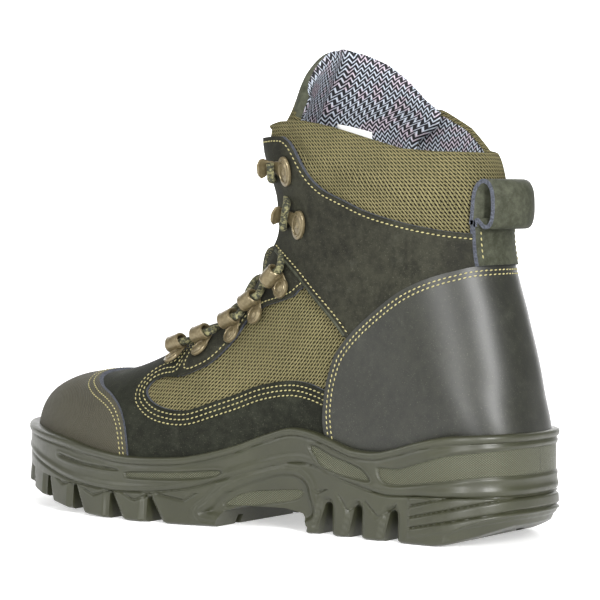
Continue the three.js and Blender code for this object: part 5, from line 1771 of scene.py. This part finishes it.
def seam_runs(name, path, inwards):
    """Contour lines for one row of stitches, where the panel shows."""
    grow = THICK[name] + PAD_OUT * full + wave * SOFT[name]
    surface = grown(grow)
    field = distance(surface[..., [0, 2]], path) + inwards

    def keep(p):
        free = beyond_throat(p) & (p[:, 2] > rim(p[:, 0]) + 0.4)
        for cover in COVERS[name]:
            free &= outside(p, cover, 0.8)
        return free

    return trace(field, surface, keep)


bpy.ops.mesh.primitive_uv_sphere_add(segments=6, ring_count=5, radius=1)
stitch = bpy.context.object
stitch_corners = np.array([tuple(v.co) for v in stitch.data.vertices])
stitch_faces = [tuple(face.vertices) for face in stitch.data.polygons]
bpy.data.objects.remove(stitch)
STITCH = (0.88, 0.37, 0.32)  # half length, half width and half height of one stitch
PITCH = 2.5
SLANT = 0.16
SUNK = 0.05  # a stitch's middle over the leather


def stitched(name, runs):
    """One piece with a small bead of thread for every stitch of these runs."""
    corners, faces = [], []
    for run in runs:
        row = respaced(run, PITCH)
        if len(row) < 3:
            continue
        way, out = unit(np.gradient(row[:, :3], axis=0)), unit(row[:, 3:])
        slanted = unit(way + np.cross(out, way) * SLANT)
        for p, a, b, c in zip(row[:, :3], slanted, np.cross(out, slanted), out):
            first = len(corners) * len(stitch_corners)
            local = stitch_corners * STITCH
            corners.append(p + c * SUNK + local @ np.stack([a, b, c]))
            faces += [tuple(first + k for k in face) for face in stitch_faces]
    return piece(name, np.concatenate(corners), faces, [thread])


for name, path, rows in SEAMS:
    runs = [run for row in rows for run in seam_runs(name, path, row)]
    dress(stitched(name + "_stitches", runs), "leather")

# %% [markdown]
# The front edge of the quarter isn't left raw: it is folded round a cord, so a roll runs along it.

# %% Rolled edge and strip rows
def run_tube(name, runs, radius, finish):
    tubes = [tube(name, respaced(run, 3)[:, :3], radius, finish, 2.0, 8) for run in runs if len(run) > 6]
    return joined(name, tubes)


def on_roll(p):
    """The quarter's front edge, where nothing covers it."""
    front = distance(p[:, [0, 2]], line(QUARTER_FRONT), closed=False) < 3
    return front & outside(p, counter_line, 0.2) & beyond_throat(p, 0.3)


ROLL_UP = 1.7  # the roll's middle over the form
quarter_surface = grown(ROLL_UP + PAD_OUT * full + wave)
quarter_field = distance(quarter_surface[..., [0, 2]], quarter_line) - 0.1
roll_runs = trace(quarter_field, quarter_surface, on_roll)
dress(run_tube("quarter_rolled_edge", roll_runs, 1.15, leather_strap), "leather")

strip_surface = grown(strip_grow)
strip_field = np.abs(strip_surface[..., 1]) - STRAP_WIDE / 2 + 2.2
row_low, row_high = float(side_view([(0.03, 0.6)])[0, 1]), LOOP_Z - 12


def on_strip(p):
    beside_counter = outside(p, counter_line, 1.5)
    return (p[:, 0] < 40) & beside_counter & (p[:, 2] > row_low) & (p[:, 2] < row_high)


dress(stitched("strip_stitches", trace(strip_field, strip_surface, on_strip)), "leather")

# %% [markdown]
# A blank white tab is sewn flat inside the tongue. Its points are laid on the lining by looking up the
# closest spot of the tongue's skin.

# %% Blank label
LABEL = [(60.2, -15.3, 194.0), (43.6, -20.6, 189.6)]  # its top corners, in millimetres of the frame
LABEL_TALL = 9


def label(rows=7, columns=11):
    start, end = (Vector(corner) for corner in LABEL)
    front, back = [], []
    for down in np.linspace(0, LABEL_TALL, rows):
        for across in np.linspace(0, 1, columns):
            near = start.lerp(end, float(across)) - Vector((0, 0, float(down)))
            _, spot, normal, _ = tongue_piece.closest_point_on_mesh(near * MM)
            front.append(spot + normal * 0.8 * MM)
            back.append(spot + normal * 0.1 * MM)
    half = rows * columns
    ids = np.arange(half).reshape(rows, columns)
    faces = []
    for a in ids[:-1, :-1].ravel().tolist():
        b = half + a
        faces += [(a, a + columns, a + columns + 1, a + 1), (b, b + 1, b + columns + 1, b + columns)]
    sides = (ids[0], ids[1:, -1], ids[-1, -2::-1], ids[-2:0:-1, 0])
    border = np.concatenate(sides).tolist()
    for k, m in zip(border, border[1:] + border[:1]):
        faces.append((k, m, half + m, half + k))
    corners = np.array([list(p) for p in front + back])
    return faced_out(piece("blank_label", corners, faces, [blank_cloth], in_mm=False))


dress(label(), "lining")
